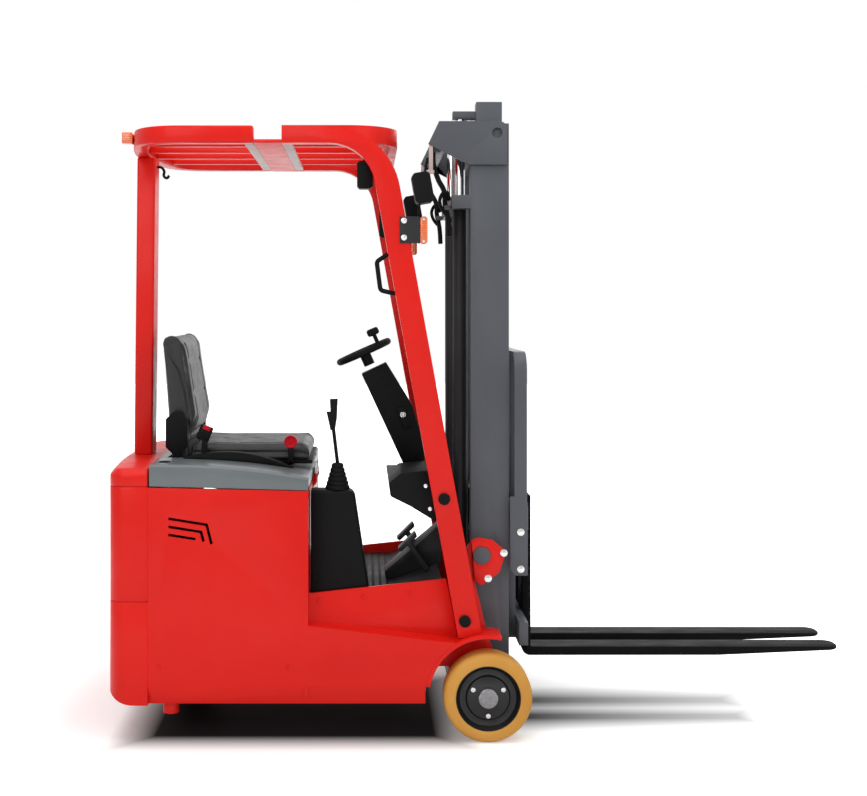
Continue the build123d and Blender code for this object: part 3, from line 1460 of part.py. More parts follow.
# Carriage: two fork bars, side plates and chain lugs
with BuildPart() as carriage:
    for bar_z in (LOW_BAR_Z, HIGH_BAR_Z):
        with BuildSketch(Plane.XY.offset(bar_z)):
            with Locations(((bar_rear_x + BAR_FRONT_X) / 2, 0)):
                Rectangle(BAR_T, 2 * CARRIAGE_HALF)
        extrude(amount=BAR_H)
    with BuildSketch(side_plane(PLATE_IN)):
        with BuildLine():
            Polyline(
                (bar_rear_x, LOW_BAR_Z),
                (bar_rear_x, HIGH_BAR_Z + BAR_H),
                (mast_front_x - 25, plate_top_z),
                (cross_front_x + 8, plate_top_z),
                (cross_front_x + 8, CHAIN_LUG_Z + 25),
                (mast_front_x + 5, CHAIN_LUG_Z - 80),
                (mast_front_x + 5, LOW_BAR_Z),
                close=True,
            )
        make_face()
    extrude(amount=PLATE_T)
    mirror(about=Plane.XZ)
    with BuildSketch(Plane.XY.offset(CHAIN_LUG_Z - 80)):
        with Locations((mast_front_x + 9, 0)):
            Rectangle(16, 2 * PLATE_IN + 4)
    extrude(amount=100)
    with BuildSketch(Plane.XY.offset(CHAIN_LUG_Z - CHAIN_LUG_T)):
        with Locations(((front_run_x - 12 + mast_front_x + 5) / 2, 0)):
            with GridLocations(0, 2 * SHEAVE_Y, 1, 2):
                Rectangle(mast_front_x + 5 - front_run_x + 12, CLEVIS_W)
    extrude(amount=CHAIN_LUG_T)
    add(anchors(front_run_x, CHAIN_LUG_Z))
finish(carriage.part, "carriage")

with BuildPart() as carriage_rollers:
    for roller_z in (plate_top_z - 196, plate_top_z - 36):
        with BuildSketch(side_plane(PLATE_IN + PLATE_T)):
            with Locations((roller_x, roller_z)):
                RegularPolygon(12, 6)
        extrude(amount=12)
        with BuildSketch(side_plane(PLATE_IN + PLATE_T + 12)):
            with Locations((roller_x, roller_z)):
                Circle(ROLLER_R)
        extrude(amount=ROLLER_W)
    mirror(about=Plane.XZ)
finish(carriage_rollers.part, "carriage_rollers")

# Load backrest: flat bar bent over the top, on wide plates at the bar ends
backrest_rear_x = BAR_FRONT_X - 47
backrest_out = CARRIAGE_HALF + BACKREST_T
with BuildPart() as backrest:
    with BuildSketch(Plane.YZ.offset(backrest_rear_x)):
        with BuildLine():
            FilletPolyline(
                (-backrest_out, BACKREST_LOW_Z),
                (-backrest_out, BACKREST_TOP_Z),
                (backrest_out, BACKREST_TOP_Z),
                (backrest_out, BACKREST_LOW_Z),
                radius=BACKREST_ROUND,
            )
            FilletPolyline(
                (-CARRIAGE_HALF, BACKREST_LOW_Z),
                (-CARRIAGE_HALF, BACKREST_TOP_Z - BACKREST_T),
                (CARRIAGE_HALF, BACKREST_TOP_Z - BACKREST_T),
                (CARRIAGE_HALF, BACKREST_LOW_Z),
                radius=BACKREST_ROUND - BACKREST_T,
            )
            Line((-backrest_out, BACKREST_LOW_Z), (-CARRIAGE_HALF, BACKREST_LOW_Z))
            Line((backrest_out, BACKREST_LOW_Z), (CARRIAGE_HALF, BACKREST_LOW_Z))
        make_face()
    extrude(amount=BACKREST_D)
    with BuildSketch(side_plane(CARRIAGE_HALF)):
        with BuildLine():
            Polyline(
                (backrest_rear_x - 15, BACKREST_LOW_Z + 21),
                (backrest_rear_x + 6, BACKREST_LOW_Z),
                (BAR_FRONT_X - 3, BACKREST_LOW_Z),
                (BAR_FRONT_X - 3, plate_top_z - 20),
                (BAR_FRONT_X - 17, plate_top_z),
                (backrest_rear_x - 15, plate_top_z),
                close=True,
            )
        make_face()
    extrude(amount=BACKREST_T)
    mirror(about=Plane.XZ)
    with BuildSketch(Plane.XY.offset(HIGH_BAR_Z + BAR_H)):
        with Locations((backrest_rear_x + BACKREST_D / 2, 0)):
            with GridLocations(0, 160, 1, 3):
                Rectangle(BACKREST_D - 8, 8)
    extrude(amount=BACKREST_TOP_Z - BACKREST_T - HIGH_BAR_Z - BAR_H)
finish(backrest.part, "backrest")


def fork(side):
    # Hooked shank, rounded heel and a blade that thins towards its rounded tip.
    shank_x = BAR_FRONT_X + FORK_SEAT
    face_x = shank_x + FORK_T
    tip_x = face_x + FORK_LENGTH
    blade_z = FORK_BOTTOM_Z + FORK_T
    hook_z = HIGH_BAR_Z + BAR_H + FORK_SEAT
    with BuildPart() as blade:
        with BuildSketch(side_plane(-side * FORK_Y - FORK_W / 2)):
            with BuildLine():
                Polyline(
                    (shank_x, FORK_BOTTOM_Z),
                    (tip_x - FORK_TAPER_L, FORK_BOTTOM_Z),
                    (tip_x, blade_z - FORK_TIP_T),
                    (tip_x, blade_z),
                    (face_x, blade_z),
                    (face_x, FORK_TOP_Z),
                    (bar_rear_x - HOOK_D, FORK_TOP_Z),
                    (bar_rear_x - HOOK_D, hook_z - HOOK_H),
                    (bar_rear_x - FORK_SEAT, hook_z - HOOK_H),
                    (bar_rear_x - FORK_SEAT, hook_z),
                    (shank_x, hook_z),
                    close=True,
                )
            make_face()
        extrude(amount=FORK_W)
        heel = blade.edges().filter_by(Axis.Y).filter_by(
            lambda edge: edge.center().Z < FORK_BOTTOM_Z + 1 and edge.center().X < face_x)
        fillet(heel, FORK_HEEL_R)
        tip = blade.edges().filter_by(Axis.Z).filter_by(lambda edge: edge.center().X > tip_x - 1)
        fillet(tip, FORK_TIP_R)
    return blade.part


finish(fork(-1), "fork_right")
finish(fork(1), "fork_left")

# Tilt cylinders under the floor
with BuildPart() as tilt_barrels:
    with BuildSketch(Plane.YZ.offset(TILT_REAR_X + EYE_R - 4)):
        with Locations((-TILT_Y, TILT_Z)):
            Circle(TILT_BARREL_R)
    extrude(amount=TILT_BARREL_L)
    with BuildSketch(side_plane(TILT_Y - EYE_W / 2)):
        with Locations((TILT_REAR_X, TILT_Z)):
            Circle(EYE_R)
    extrude(amount=EYE_W)
    with BuildSketch(side_plane(TILT_Y - TILT_BARREL_R)):
        with Locations((TILT_REAR_X, TILT_Z)):
            Circle(TILT_SHAFT_R + SHAFT_CLEAR)
    extrude(amount=2 * TILT_BARREL_R, mode=Mode.SUBTRACT)
    with BuildSketch(Plane.YZ.offset(TILT_REAR_X + 40)):
        with Locations((-TILT_Y, TILT_Z)):
            Circle(TILT_ROD_R + TILT_BORE_CLEAR)
    extrude(amount=TILT_BARREL_L + EYE_R, mode=Mode.SUBTRACT)
    mirror(about=Plane.XZ)
finish(tilt_barrels.part, "tilt_barrels")

with BuildPart() as tilt_rods:
    with BuildSketch(Plane.YZ.offset(TILT_REAR_X + TILT_ROD_IN)):
        with Locations((-TILT_Y, TILT_Z)):
            Circle(TILT_ROD_R)
    extrude(amount=TILT_EYE_X - EYE_R + 6 - TILT_REAR_X - TILT_ROD_IN)
    with BuildSketch(side_plane(TILT_Y - EYE_W / 2 + 1)):
        with Locations((TILT_EYE_X, TILT_Z)):
            Circle(EYE_R)
            Circle(TILT_PIN_R + EYE_CLEAR, mode=Mode.SUBTRACT)
    extrude(amount=EYE_W - 2)
    mirror(about=Plane.XZ)
finish(tilt_rods.part, "tilt_rods")
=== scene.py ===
import json
import math

import bmesh
import bpy
from mathutils import Matrix, Vector


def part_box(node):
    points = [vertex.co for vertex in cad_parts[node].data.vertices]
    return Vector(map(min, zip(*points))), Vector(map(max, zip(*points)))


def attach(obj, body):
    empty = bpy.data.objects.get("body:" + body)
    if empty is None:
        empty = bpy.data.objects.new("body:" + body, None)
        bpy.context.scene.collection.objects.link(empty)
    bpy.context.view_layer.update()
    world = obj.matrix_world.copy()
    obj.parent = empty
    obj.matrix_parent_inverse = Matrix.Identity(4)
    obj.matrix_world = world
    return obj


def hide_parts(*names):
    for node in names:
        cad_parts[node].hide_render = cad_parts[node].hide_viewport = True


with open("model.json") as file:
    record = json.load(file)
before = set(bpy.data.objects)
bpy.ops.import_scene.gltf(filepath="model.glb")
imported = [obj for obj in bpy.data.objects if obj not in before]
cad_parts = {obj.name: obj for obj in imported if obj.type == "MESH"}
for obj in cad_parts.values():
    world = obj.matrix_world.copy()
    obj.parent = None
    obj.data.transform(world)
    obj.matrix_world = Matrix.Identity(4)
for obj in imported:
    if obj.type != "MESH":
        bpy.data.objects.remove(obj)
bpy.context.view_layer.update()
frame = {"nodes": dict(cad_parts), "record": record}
bpy.context.scene.view_settings.view_transform = "Standard"
nodes = frame["nodes"]

MM = 0.001

# Photograph's frame and the camera that it was taken with, in pixels and metres
PHOTO_W, PHOTO_H = 867, 796
VIEW_CENTRE_PX = (365, 310)
FOCAL_PX = 1312
CAMERA_AT = (-0.396, -4.685, 1.391)
SENSOR_MM = 36
CLIP_END = 60


def add_camera():
    data = bpy.data.cameras.new("photo_camera")
    data.sensor_width = SENSOR_MM
    data.lens = SENSOR_MM * FOCAL_PX / PHOTO_W
    data.shift_x = (PHOTO_W / 2 - VIEW_CENTRE_PX[0]) / PHOTO_W
    data.shift_y = (VIEW_CENTRE_PX[1] - PHOTO_H / 2) / PHOTO_W
    data.clip_end = CLIP_END
    camera = bpy.data.objects.new("photo_camera", data)
    camera.location = CAMERA_AT
    camera.rotation_euler = (math.radians(90), 0, 0)
    bpy.context.scene.collection.objects.link(camera)
    bpy.context.scene.camera = camera


# Materials

NOISE_ROUGHNESS = 0.55
PEEL_SCALE, PEEL_STRENGTH, PEEL_DEPTH = 420, 0.35, 0.00012
PAINT_COAT_ROUGHNESS, PAINT_SPECULAR = 0.12, 0.14
GRAIN_STRENGTH, MOULDED_SPECULAR = 0.4, 0.09
MARK_STRENGTH, MARK_DEPTH, MARK_DARKER = 0.25, 0.00006, 0.72
FORK_SPECULAR = 0.06
VINYL_SHEEN, VINYL_SPECULAR = 0.1, 0.35
LENS_ROUGHNESS, LENS_COAT, LENS_DARKER = 0.15, 0.5, 0.7


def new_material(name):
    material = bpy.data.materials.new(name)
    material.use_nodes = True
    return material, material.node_tree, material.node_tree.nodes["Principled BSDF"]


def node_of(tree, kind, **values):
    node = tree.nodes.new(kind)
    for key, value in values.items():
        if key in node.inputs:
            node.inputs[key].default_value = value
        else:
            setattr(node, key, value)
    return node


def object_noise(tree, scale, detail=4.0, stretch=(1, 1, 1)):
    # Noise on the piece's own coordinates, stretched along an axis where asked.
    place = node_of(tree, "ShaderNodeTexCoord")
    mapping = node_of(tree, "ShaderNodeMapping")
    mapping.inputs["Scale"].default_value = stretch
    noise = node_of(tree, "ShaderNodeTexNoise", Scale=scale, Detail=detail, Roughness=NOISE_ROUGHNESS)
    tree.links.new(place.outputs["Object"], mapping.inputs["Vector"])
    tree.links.new(mapping.outputs["Vector"], noise.inputs["Vector"])
    return noise


def spread(tree, source, low, high, start=0.3, end=0.7):
    # Maps a factor onto a range.
    step = node_of(tree, "ShaderNodeMapRange")
    step.inputs["From Min"].default_value = start
    step.inputs["From Max"].default_value = end
    step.inputs["To Min"].default_value = low
    step.inputs["To Max"].default_value = high
    tree.links.new(source, step.inputs["Value"])
    return step.outputs["Result"]


def two_colours(tree, factor, first, second):
    mix = node_of(tree, "ShaderNodeMix", data_type="RGBA")
    mix.inputs["A"].default_value = (*first, 1)
    mix.inputs["B"].default_value = (*second, 1)
    tree.links.new(factor, mix.inputs["Factor"])
    return mix.outputs["Result"]


def colour(r, g, b):
    # A colour named by its eight-bit screen values, as linear light.
    return tuple(((c / 255 + 0.055) / 1.055) ** 2.4 if c > 10 else c / 255 / 12.92 for c in (r, g, b))


def bump_from(tree, height, strength, distance, shader):
    bump = node_of(tree, "ShaderNodeBump", Strength=strength, Distance=distance)
    tree.links.new(height, bump.inputs["Height"])
    tree.links.new(bump.outputs["Normal"], shader.inputs["Normal"])
    return bump


def paint(name, base, shade, rough=(0.3, 0.45), coat=0.07, metallic=0.0):
    # Sprayed enamel: slow colour drift, uneven gloss and a fine orange peel.
    material, tree, shader = new_material(name)
    drift = object_noise(tree, 3.0)
    tree.links.new(two_colours(tree, spread(tree, drift.outputs["Fac"], 0, 1), base, shade),
                   shader.inputs["Base Color"])
    haze = object_noise(tree, 14.0, 6.0)
    tree.links.new(spread(tree, haze.outputs["Fac"], *rough), shader.inputs["Roughness"])
    grain = object_noise(tree, PEEL_SCALE, 2.0)
    bump_from(tree, grain.outputs["Fac"], PEEL_STRENGTH, PEEL_DEPTH, shader)
    shader.inputs["Metallic"].default_value = metallic
    shader.inputs["Coat Weight"].default_value = coat
    shader.inputs["Coat Roughness"].default_value = PAINT_COAT_ROUGHNESS
    shader.inputs["Specular IOR Level"].default_value = PAINT_SPECULAR
    return material


def moulded(name, base, shade, rough=(0.45, 0.6), grain=900, depth=0.0002):
    # Moulded plastic or rubber with a fine leathered grain.
    material, tree, shader = new_material(name)
    drift = object_noise(tree, 6.0)
    tree.links.new(two_colours(tree, spread(tree, drift.outputs["Fac"], 0, 1), base, shade),
                   shader.inputs["Base Color"])
    place = node_of(tree, "ShaderNodeTexCoord")
    cells = node_of(tree, "ShaderNodeTexVoronoi", Scale=grain)
    tree.links.new(place.outputs["Object"], cells.inputs["Vector"])
    tree.links.new(spread(tree, cells.outputs["Distance"], *rough, 0.1, 0.8), shader.inputs["Roughness"])
    bump_from(tree, cells.outputs["Distance"], GRAIN_STRENGTH, depth, shader)
    shader.inputs["Specular IOR Level"].default_value = MOULDED_SPECULAR
    return material


def metal(name, base, rough=(0.18, 0.35), stretch=(1, 1, 12), scale=160):
    # Bare metal with drawn or turned marks along one axis.
    material, tree, shader = new_material(name)
    marks = object_noise(tree, scale, 5.0, stretch)
    tree.links.new(two_colours(tree, spread(tree, marks.outputs["Fac"], 0, 1), base,
                               tuple(c * MARK_DARKER for c in base)), shader.inputs["Base Color"])
    tree.links.new(spread(tree, marks.outputs["Fac"], *rough), shader.inputs["Roughness"])
    bump_from(tree, marks.outputs["Fac"], MARK_STRENGTH, MARK_DEPTH, shader)
    shader.inputs["Metallic"].default_value = 1.0
    return material


def fork_paint(name):
    # Black enamel that loads have rubbed to grey on the upper face.
    material, tree, shader = new_material(name)
    facing = node_of(tree, "ShaderNodeNewGeometry")
    split = node_of(tree, "ShaderNodeSeparateXYZ")
    tree.links.new(facing.outputs["Normal"], split.inputs["Vector"])
    scuff = object_noise(tree, 9.0, 8.0, (1, 5, 5))
    worn = node_of(tree, "ShaderNodeMath", operation="MULTIPLY")
    tree.links.new(spread(tree, split.outputs["Z"], 0, 1, 0.6, 0.95), worn.inputs[0])
    tree.links.new(spread(tree, scuff.outputs["Fac"], 0.45, 1), worn.inputs[1])
    tree.links.new(two_colours(tree, worn.outputs["Value"], colour(11, 11, 12), colour(18, 18, 19)),
                   shader.inputs["Base Color"])
    tree.links.new(spread(tree, scuff.outputs["Fac"], 0.5, 0.7), shader.inputs["Roughness"])
    bump_from(tree, scuff.outputs["Fac"], 0.3, 0.0002, shader)
    shader.inputs["Specular IOR Level"].default_value = FORK_SPECULAR
    return material


def vinyl(name):
    # Black seat vinyl: pebbled grain over a soft sheen.
    material, tree, shader = new_material(name)
    place = node_of(tree, "ShaderNodeTexCoord")
    pebbles = node_of(tree, "ShaderNodeTexVoronoi", Scale=420)
    tree.links.new(place.outputs["Object"], pebbles.inputs["Vector"])
    creases = object_noise(tree, 22.0, 6.0)
    height = node_of(tree, "ShaderNodeMath", operation="ADD")
    tree.links.new(pebbles.outputs["Distance"], height.inputs[0])
    tree.links.new(creases.outputs["Fac"], height.inputs[1])
    tree.links.new(two_colours(tree, spread(tree, creases.outputs["Fac"], 0, 1), colour(13, 13, 14),
                               colour(20, 20, 22)), shader.inputs["Base Color"])
    tree.links.new(spread(tree, creases.outputs["Fac"], 0.38, 0.55), shader.inputs["Roughness"])
    bump_from(tree, height.outputs["Value"], 0.5, 0.0006, shader)
    shader.inputs["Sheen Weight"].default_value = VINYL_SHEEN
    shader.inputs["Specular IOR Level"].default_value = VINYL_SPECULAR
    return material


def lens(name, base, rib_scale=260 / 6):
    # Moulded lamp lens with fine ribs.
    material, tree, shader = new_material(name)
    place = node_of(tree, "ShaderNodeTexCoord")
    wave = node_of(tree, "ShaderNodeTexWave", Scale=rib_scale, bands_direction="Z")
    tree.links.new(place.outputs["Object"], wave.inputs["Vector"])
    tree.links.new(two_colours(tree, spread(tree, wave.outputs["Fac"], 0, 1), base,
                               tuple(c * LENS_DARKER for c in base)), shader.inputs["Base Color"])
    bump_from(tree, wave.outputs["Fac"], 0.5, 0.0008, shader)
    shader.inputs["Roughness"].default_value = LENS_ROUGHNESS
    shader.inputs["Coat Weight"].default_value = LENS_COAT
    return material


RED = colour(222, 30, 21)
RED_SHADE = colour(212, 25, 18)
GREY = colour(88, 91, 96)
GREY_SHADE = colour(80, 83, 88)

red_paint = paint("red_paint", RED, RED_SHADE)
mast_paint = paint("mast_paint", GREY, GREY_SHADE, (0.35, 0.5), 0.05)
frame_paint = paint("frame_paint", colour(46, 46, 48), colour(36, 36, 38), (0.45, 0.6), 0.05)
hood_paint = paint("hood_paint", colour(106, 112, 114), colour(98, 104, 106), (0.3, 0.42), 0.15, 0.15)
strip_paint = paint("strip_paint", colour(196, 176, 172), colour(182, 164, 160), (0.4, 0.5), 0.05)
hub_paint = paint("hub_paint", colour(22, 22, 23), colour(16, 16, 17), (0.3, 0.45), 0.3)
black_plastic = moulded("black_plastic", colour(13, 13, 15), colour(10, 10, 11))
grip_rubber = moulded("grip_rubber", colour(16, 16, 17), colour(12, 12, 13), (0.5, 0.7), 700, 0.0003)
tyre_rubber = moulded("tyre_rubber", colour(212, 158, 78), colour(198, 142, 66), (0.4, 0.58), 240, 0.0002)
seat_vinyl = vinyl("seat_vinyl")
bright_steel = metal("bright_steel", (0.62, 0.62, 0.61))
cap_steel = metal("cap_steel", (0.20, 0.20, 0.21), (0.12, 0.25), (1, 1, 1), 90)
chain_steel = metal("chain_steel", (0.30, 0.29, 0.28), (0.35, 0.55), (1, 1, 1), 260)
chrome_rod = metal("chrome_rod", (0.82, 0.83, 0.84), (0.05, 0.12), (1, 1, 0.2), 300)
fork_steel = fork_paint("fork_steel")
battery_steel = paint("battery_steel", colour(62, 66, 72), colour(52, 56, 62), (0.45, 0.6), 0.05)
amber_lens = lens("amber_lens", colour(245, 110, 30))
clear_lens = lens("clear_lens", colour(225, 228, 230))
red_plastic = moulded("red_plastic", colour(205, 24, 38), colour(180, 16, 30), (0.3, 0.42))

NODE_FINISH = {
    red_paint: ("counterweight", "rear_cover", "body_sides", "chassis", "fenders", "feet", "guard_front",
                "guard_rear", "guard_bars", "rear_post", "trunnion_caps"),
    mast_paint: ("outer_mast", "inner_mast", "head_brackets", "carriage", "backrest"),
    frame_paint: ("floor_plate", "drive_motor", "steer_unit", "lift_barrels", "tilt_barrels", "pedals",
                  "lamp_brackets"),
    hood_paint: ("hood",),
    strip_paint: ("guard_strips",),
    hub_paint: ("hub_right", "hub_left", "hub_rear"),
    black_plastic: ("side_console", "dash_console", "steering_column", "headlights", "work_lamp", "mirror",
                    "seat_base", "seat_frame", "seat_controls"),
    grip_rubber: ("lever_boot", "hydraulic_lever", "grab_handle", "steering_wheel"),
    tyre_rubber: ("tyre_right", "tyre_left", "tyre_rear"),
    seat_vinyl: ("seat_cushion", "seat_back"),
    bright_steel: ("axle_stubs", "carriage_rollers", "sheaves"),
    chain_steel: ("chain_tops", "chain_rear_runs", "chain_front_runs"),
    chrome_rod: ("lift_rods", "tilt_rods"),
    fork_steel: ("fork_right", "fork_left"),
    battery_steel: ("battery",),
    amber_lens: ("indicator_lamps", "rear_lamps"),
}


def dress(obj, material):
    obj.data.materials.clear()
    obj.data.materials.append(material)


for finish_material, names in NODE_FINISH.items():
    for node_name in names:
        dress(nodes[node_name], finish_material)


# Tools for modelling

MERGE = 0.00002
FLAT_ANGLE = math.radians(1)
SMOOTH_ANGLE = math.radians(32)
EASE_ANGLE = math.radians(35)
FACING = 0.97


def deselect():
    bpy.ops.object.select_all(action="DESELECT")


def make_active(obj):
    deselect()
    obj.select_set(True)
    bpy.context.view_layer.objects.active = obj


def body_of_node(name):
    return next(body for body, listed in frame["record"]["behaviour"]["bodies"].items() if name in listed)


def merged_copy(name, node):
    # A copy of a CAD node with its loose triangles merged into plain faces.
    copy = bpy.data.objects.new(name, nodes[node].data.copy())
    bpy.context.scene.collection.objects.link(copy)
    make_active(copy)
    bpy.ops.object.mode_set(mode="EDIT")
    bpy.ops.mesh.select_all(action="SELECT")
    bpy.ops.mesh.remove_doubles(threshold=MERGE)
    bpy.ops.mesh.dissolve_limited(angle_limit=FLAT_ANGLE)
    bpy.ops.object.mode_set(mode="OBJECT")
    return copy


def soften(name, width):
    # A copy of a CAD node with eased edges, standing for that node.
    copy = merged_copy(name + "_eased", name)
    bevel = copy.modifiers.new("ease", "BEVEL")
    bevel.width = width
    bevel.segments = 2
    bevel.limit_method = "ANGLE"
    bevel.angle_limit = EASE_ANGLE
    bevel.use_clamp_overlap = True
    bevel.harden_normals = False
    bpy.ops.object.modifier_apply(modifier="ease")
    bpy.ops.object.shade_smooth_by_angle(angle=SMOOTH_ANGLE)
    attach(copy, body_of_node(name))
    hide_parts(name)
    return copy


EASED = {
    "counterweight": 5, "rear_cover": 5, "body_sides": 2.5, "fenders": 2, "guard_front": 7,
    "guard_rear": 7, "guard_bars": 2, "trunnion_caps": 2.5, "outer_mast": 2, "inner_mast": 2,
    "head_brackets": 2.5, "carriage": 2, "backrest": 2, "fork_right": 4, "fork_left": 4,
    "side_console": 4, "dash_console": 6, "steering_column": 3, "hood": 3, "seat_base": 4,
    "lamp_brackets": 1, "headlights": 3, "indicator_lamps": 2, "rear_lamps": 2, "work_lamp": 3,
    "mirror": 3, "floor_plate": 2, "chassis": 2, "pedals": 3, "guard_strips": 1,
    "tyre_right": 7, "tyre_left": 7, "tyre_rear": 7, "hub_right": 2, "hub_left": 2, "hub_rear": 2,
    "lever_boot": 2, "hydraulic_lever": 4, "seat_frame": 5, "lift_barrels": 1.5, "feet": 2,
    "steer_unit": 3, "battery": 5, "drive_motor": 4, "sheaves": 2, "carriage_rollers": 2,
    "tilt_barrels": 2, "tilt_rods": 1, "rear_post": 6, "axle_stubs": 1, "lift_rods": 1,
}
for eased_name, eased_mm in EASED.items():
    soften(eased_name, eased_mm * MM)


def settle(piece, material, body, angle=35):
    # Puts a piece's place into its mesh, dresses it and sets it on its body.
    make_active(piece)
    bpy.ops.object.transform_apply(location=True, rotation=True, scale=True)
    bpy.ops.object.shade_smooth_by_angle(angle=math.radians(angle))
    dress(piece, material)
    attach(piece, body)
    return piece


def fix_place(piece):
    make_active(piece)
    bpy.ops.object.transform_apply(location=True, rotation=True, scale=True)


def ease(piece, width, segments=2, limit=30):
    # Rounds the sharp edges of a piece.
    fix_place(piece)
    bevel = piece.modifiers.new("ease", "BEVEL")
    bevel.width = width * MM
    bevel.segments = segments
    bevel.limit_method = "ANGLE"
    bevel.angle_limit = math.radians(limit)
    bpy.ops.object.modifier_apply(modifier="ease")
    return piece


def inset_face(piece, direction, steps):
    # Insets the faces that look along a direction, step by step: width and depth in millimetres.
    fix_place(piece)
    bpy.ops.object.mode_set(mode="EDIT")
    bpy.ops.mesh.select_mode(type="FACE")
    bpy.ops.mesh.select_all(action="DESELECT")
    mesh = bmesh.from_edit_mesh(piece.data)
    for face in mesh.faces:
        face.select_set(face.normal.dot(Vector(direction).normalized()) > FACING)
    bmesh.update_edit_mesh(piece.data)
    for width, depth in steps:
        bpy.ops.mesh.inset(thickness=width * MM, depth=depth * MM)
    bpy.ops.object.mode_set(mode="OBJECT")
    return piece


ALONG = {"X": (0, math.pi / 2, 0), "Y": (math.pi / 2, 0, 0), "Z": (0, 0, 0)}


def drum(name, at, radius, depth, along="Y", sides=32):
    # A round bar centred on a place, in millimetres.
    bpy.ops.mesh.primitive_cylinder_add(vertices=sides, radius=radius * MM, depth=depth * MM,
                                        location=Vector(at) * MM, rotation=ALONG[along])
    piece = bpy.context.active_object
    piece.name = name
    return piece


def block(name, at, size, turn=(0, 0, 0)):
    # A squared bar centred on a place, in millimetres.
    bpy.ops.mesh.primitive_cube_add(size=1, location=Vector(at) * MM, rotation=turn)
    piece = bpy.context.active_object
    piece.name = name
    piece.scale = Vector(size) * MM
    return piece


def tube(name, points, radius):
    # A bent bar or hose through a line of points, in millimetres.
    deselect()
    bpy.ops.curve.primitive_bezier_curve_add(location=(0, 0, 0))
    path = bpy.context.active_object
    path.name = name
    path.data.dimensions = "3D"
    spline = path.data.splines[0]
    spline.bezier_points.add(len(points) - 2)
    for knot, place in zip(spline.bezier_points, points):
        knot.co = Vector(place) * MM
        knot.handle_left_type = knot.handle_right_type = "AUTO"
    path.data.resolution_u = 8
    path.data.bevel_depth = radius * MM
    path.data.bevel_resolution = 3
    path.data.use_fill_caps = True
    bpy.ops.object.convert(target="MESH")
    piece = bpy.context.active_object
    bpy.ops.object.mode_set(mode="EDIT")
    bpy.ops.mesh.select_all(action="SELECT")
    bpy.ops.mesh.remove_doubles(threshold=MERGE)
    bpy.ops.mesh.normals_make_consistent(inside=False)
    bpy.ops.object.mode_set(mode="OBJECT")
    return piece


def join(first, *others):
    make_active(first)
    for other in others:
        other.select_set(True)
    bpy.ops.object.join()
    return first


def twin_of(piece, move=(0, 0, 0), flip=False):
    # A copy with its own mesh, moved in millimetres or flipped to the truck's other side.
    twin = piece.copy()
    twin.data = piece.data.copy()
    bpy.context.scene.collection.objects.link(twin)
    if flip:
        twin.data.transform(Matrix.Scale(-1, 4, (0, 1, 0)))
        twin.data.flip_normals()
    twin.data.transform(Matrix.Translation(Vector(move) * MM))
    return twin


def at_places(piece, places):
    # A piece modelled about the origin, copied to each place and joined.
    fix_place(piece)
    twins = [twin_of(piece, place) for place in places]
    bpy.data.objects.remove(piece)
    return join(*twins)


def both_sides(piece):
    fix_place(piece)
    return join(piece, twin_of(piece, flip=True))


def cap_screw(name, radius, height, side=-1):
    # Round head with a hexagon socket, facing the truck's right when side is -1.
    head = drum(name, (0, side * height / 2, 0), radius, height, "Y", 24)
    ease(head, height * 0.3, 2, 50)
    socket = drum(name + "_socket", (0, side * height, 0), radius * 0.5, height, "Y", 6)
    cut = head.modifiers.new("socket", "BOOLEAN")
    cut.operation = "DIFFERENCE"
    cut.object = socket
    make_active(head)
    bpy.ops.object.modifier_apply(modifier="socket")
    bpy.data.objects.remove(socket)
    return head


def hex_bolt(name, radius, height, side=-1):
    # Hexagon head on a washer.
    washer = ease(drum(name, (0, side * height * 0.12, 0), radius * 1.35, height * 0.24, "Y", 28), 0.6)
    head = ease(drum(name + "_head", (0, side * height * 0.6, 0), radius, height * 0.8, "Y", 6), 0.9)
    return join(washer, head)


def dome_cap(name, radius, height, side=-1):
    cap = drum(name, (0, side * height / 2, 0), radius, height, "Y", 36)
    inset_face(cap, (0, side, 0), ((radius * 0.15, height * 0.3), (radius * 0.3, height * 0.25)))
    return ease(cap, height * 0.2, 2, 20)


# Front wheels: grease cap, screws and the ring between tyre and hub

AXLE_Z = 143
HUB_FACE = 468
GREASE_CAP_R, GREASE_CAP_T, GREASE_CAP_ROUND = 33, 11, 5
HUB_SCREW_RING = 56
HUB_SCREW_TURNS = (-90, 30, 150)
RIM_RING_R, RIM_RING_WIRE, RIM_RING_Y = 103.5, 2.2, 474.5


def wheel_fittings(side, name):
    body = "wheel_" + name
    dome = drum("grease_cap_" + name, (0, side * (HUB_FACE + 5), AXLE_Z), GREASE_CAP_R, GREASE_CAP_T,
                "Y", 48)
    inset_face(dome, (0, side, 0), ((9, 0.0),))
    settle(ease(dome, GREASE_CAP_ROUND, 4, 40), cap_steel, body)
    places = [(HUB_SCREW_RING * math.cos(math.radians(turn)), side * HUB_FACE,
               AXLE_Z + HUB_SCREW_RING * math.sin(math.radians(turn))) for turn in HUB_SCREW_TURNS]
    screws = at_places(cap_screw("hub_screws_" + name, 8, 6, side), places)
    settle(screws, bright_steel, body)
    bpy.ops.mesh.primitive_torus_add(location=(0, side * RIM_RING_Y * MM, AXLE_Z * MM),
                                     major_radius=RIM_RING_R * MM, minor_radius=RIM_RING_WIRE * MM,
                                     major_segments=96, minor_segments=8, rotation=ALONG["Y"])
    ring = bpy.context.active_object
    ring.name = "rim_ring_" + name
    settle(ring, hub_paint, body)


wheel_fittings(-1, "right")
wheel_fittings(1, "left")

# Pillars, console, dash and trunnions: caps and bolts

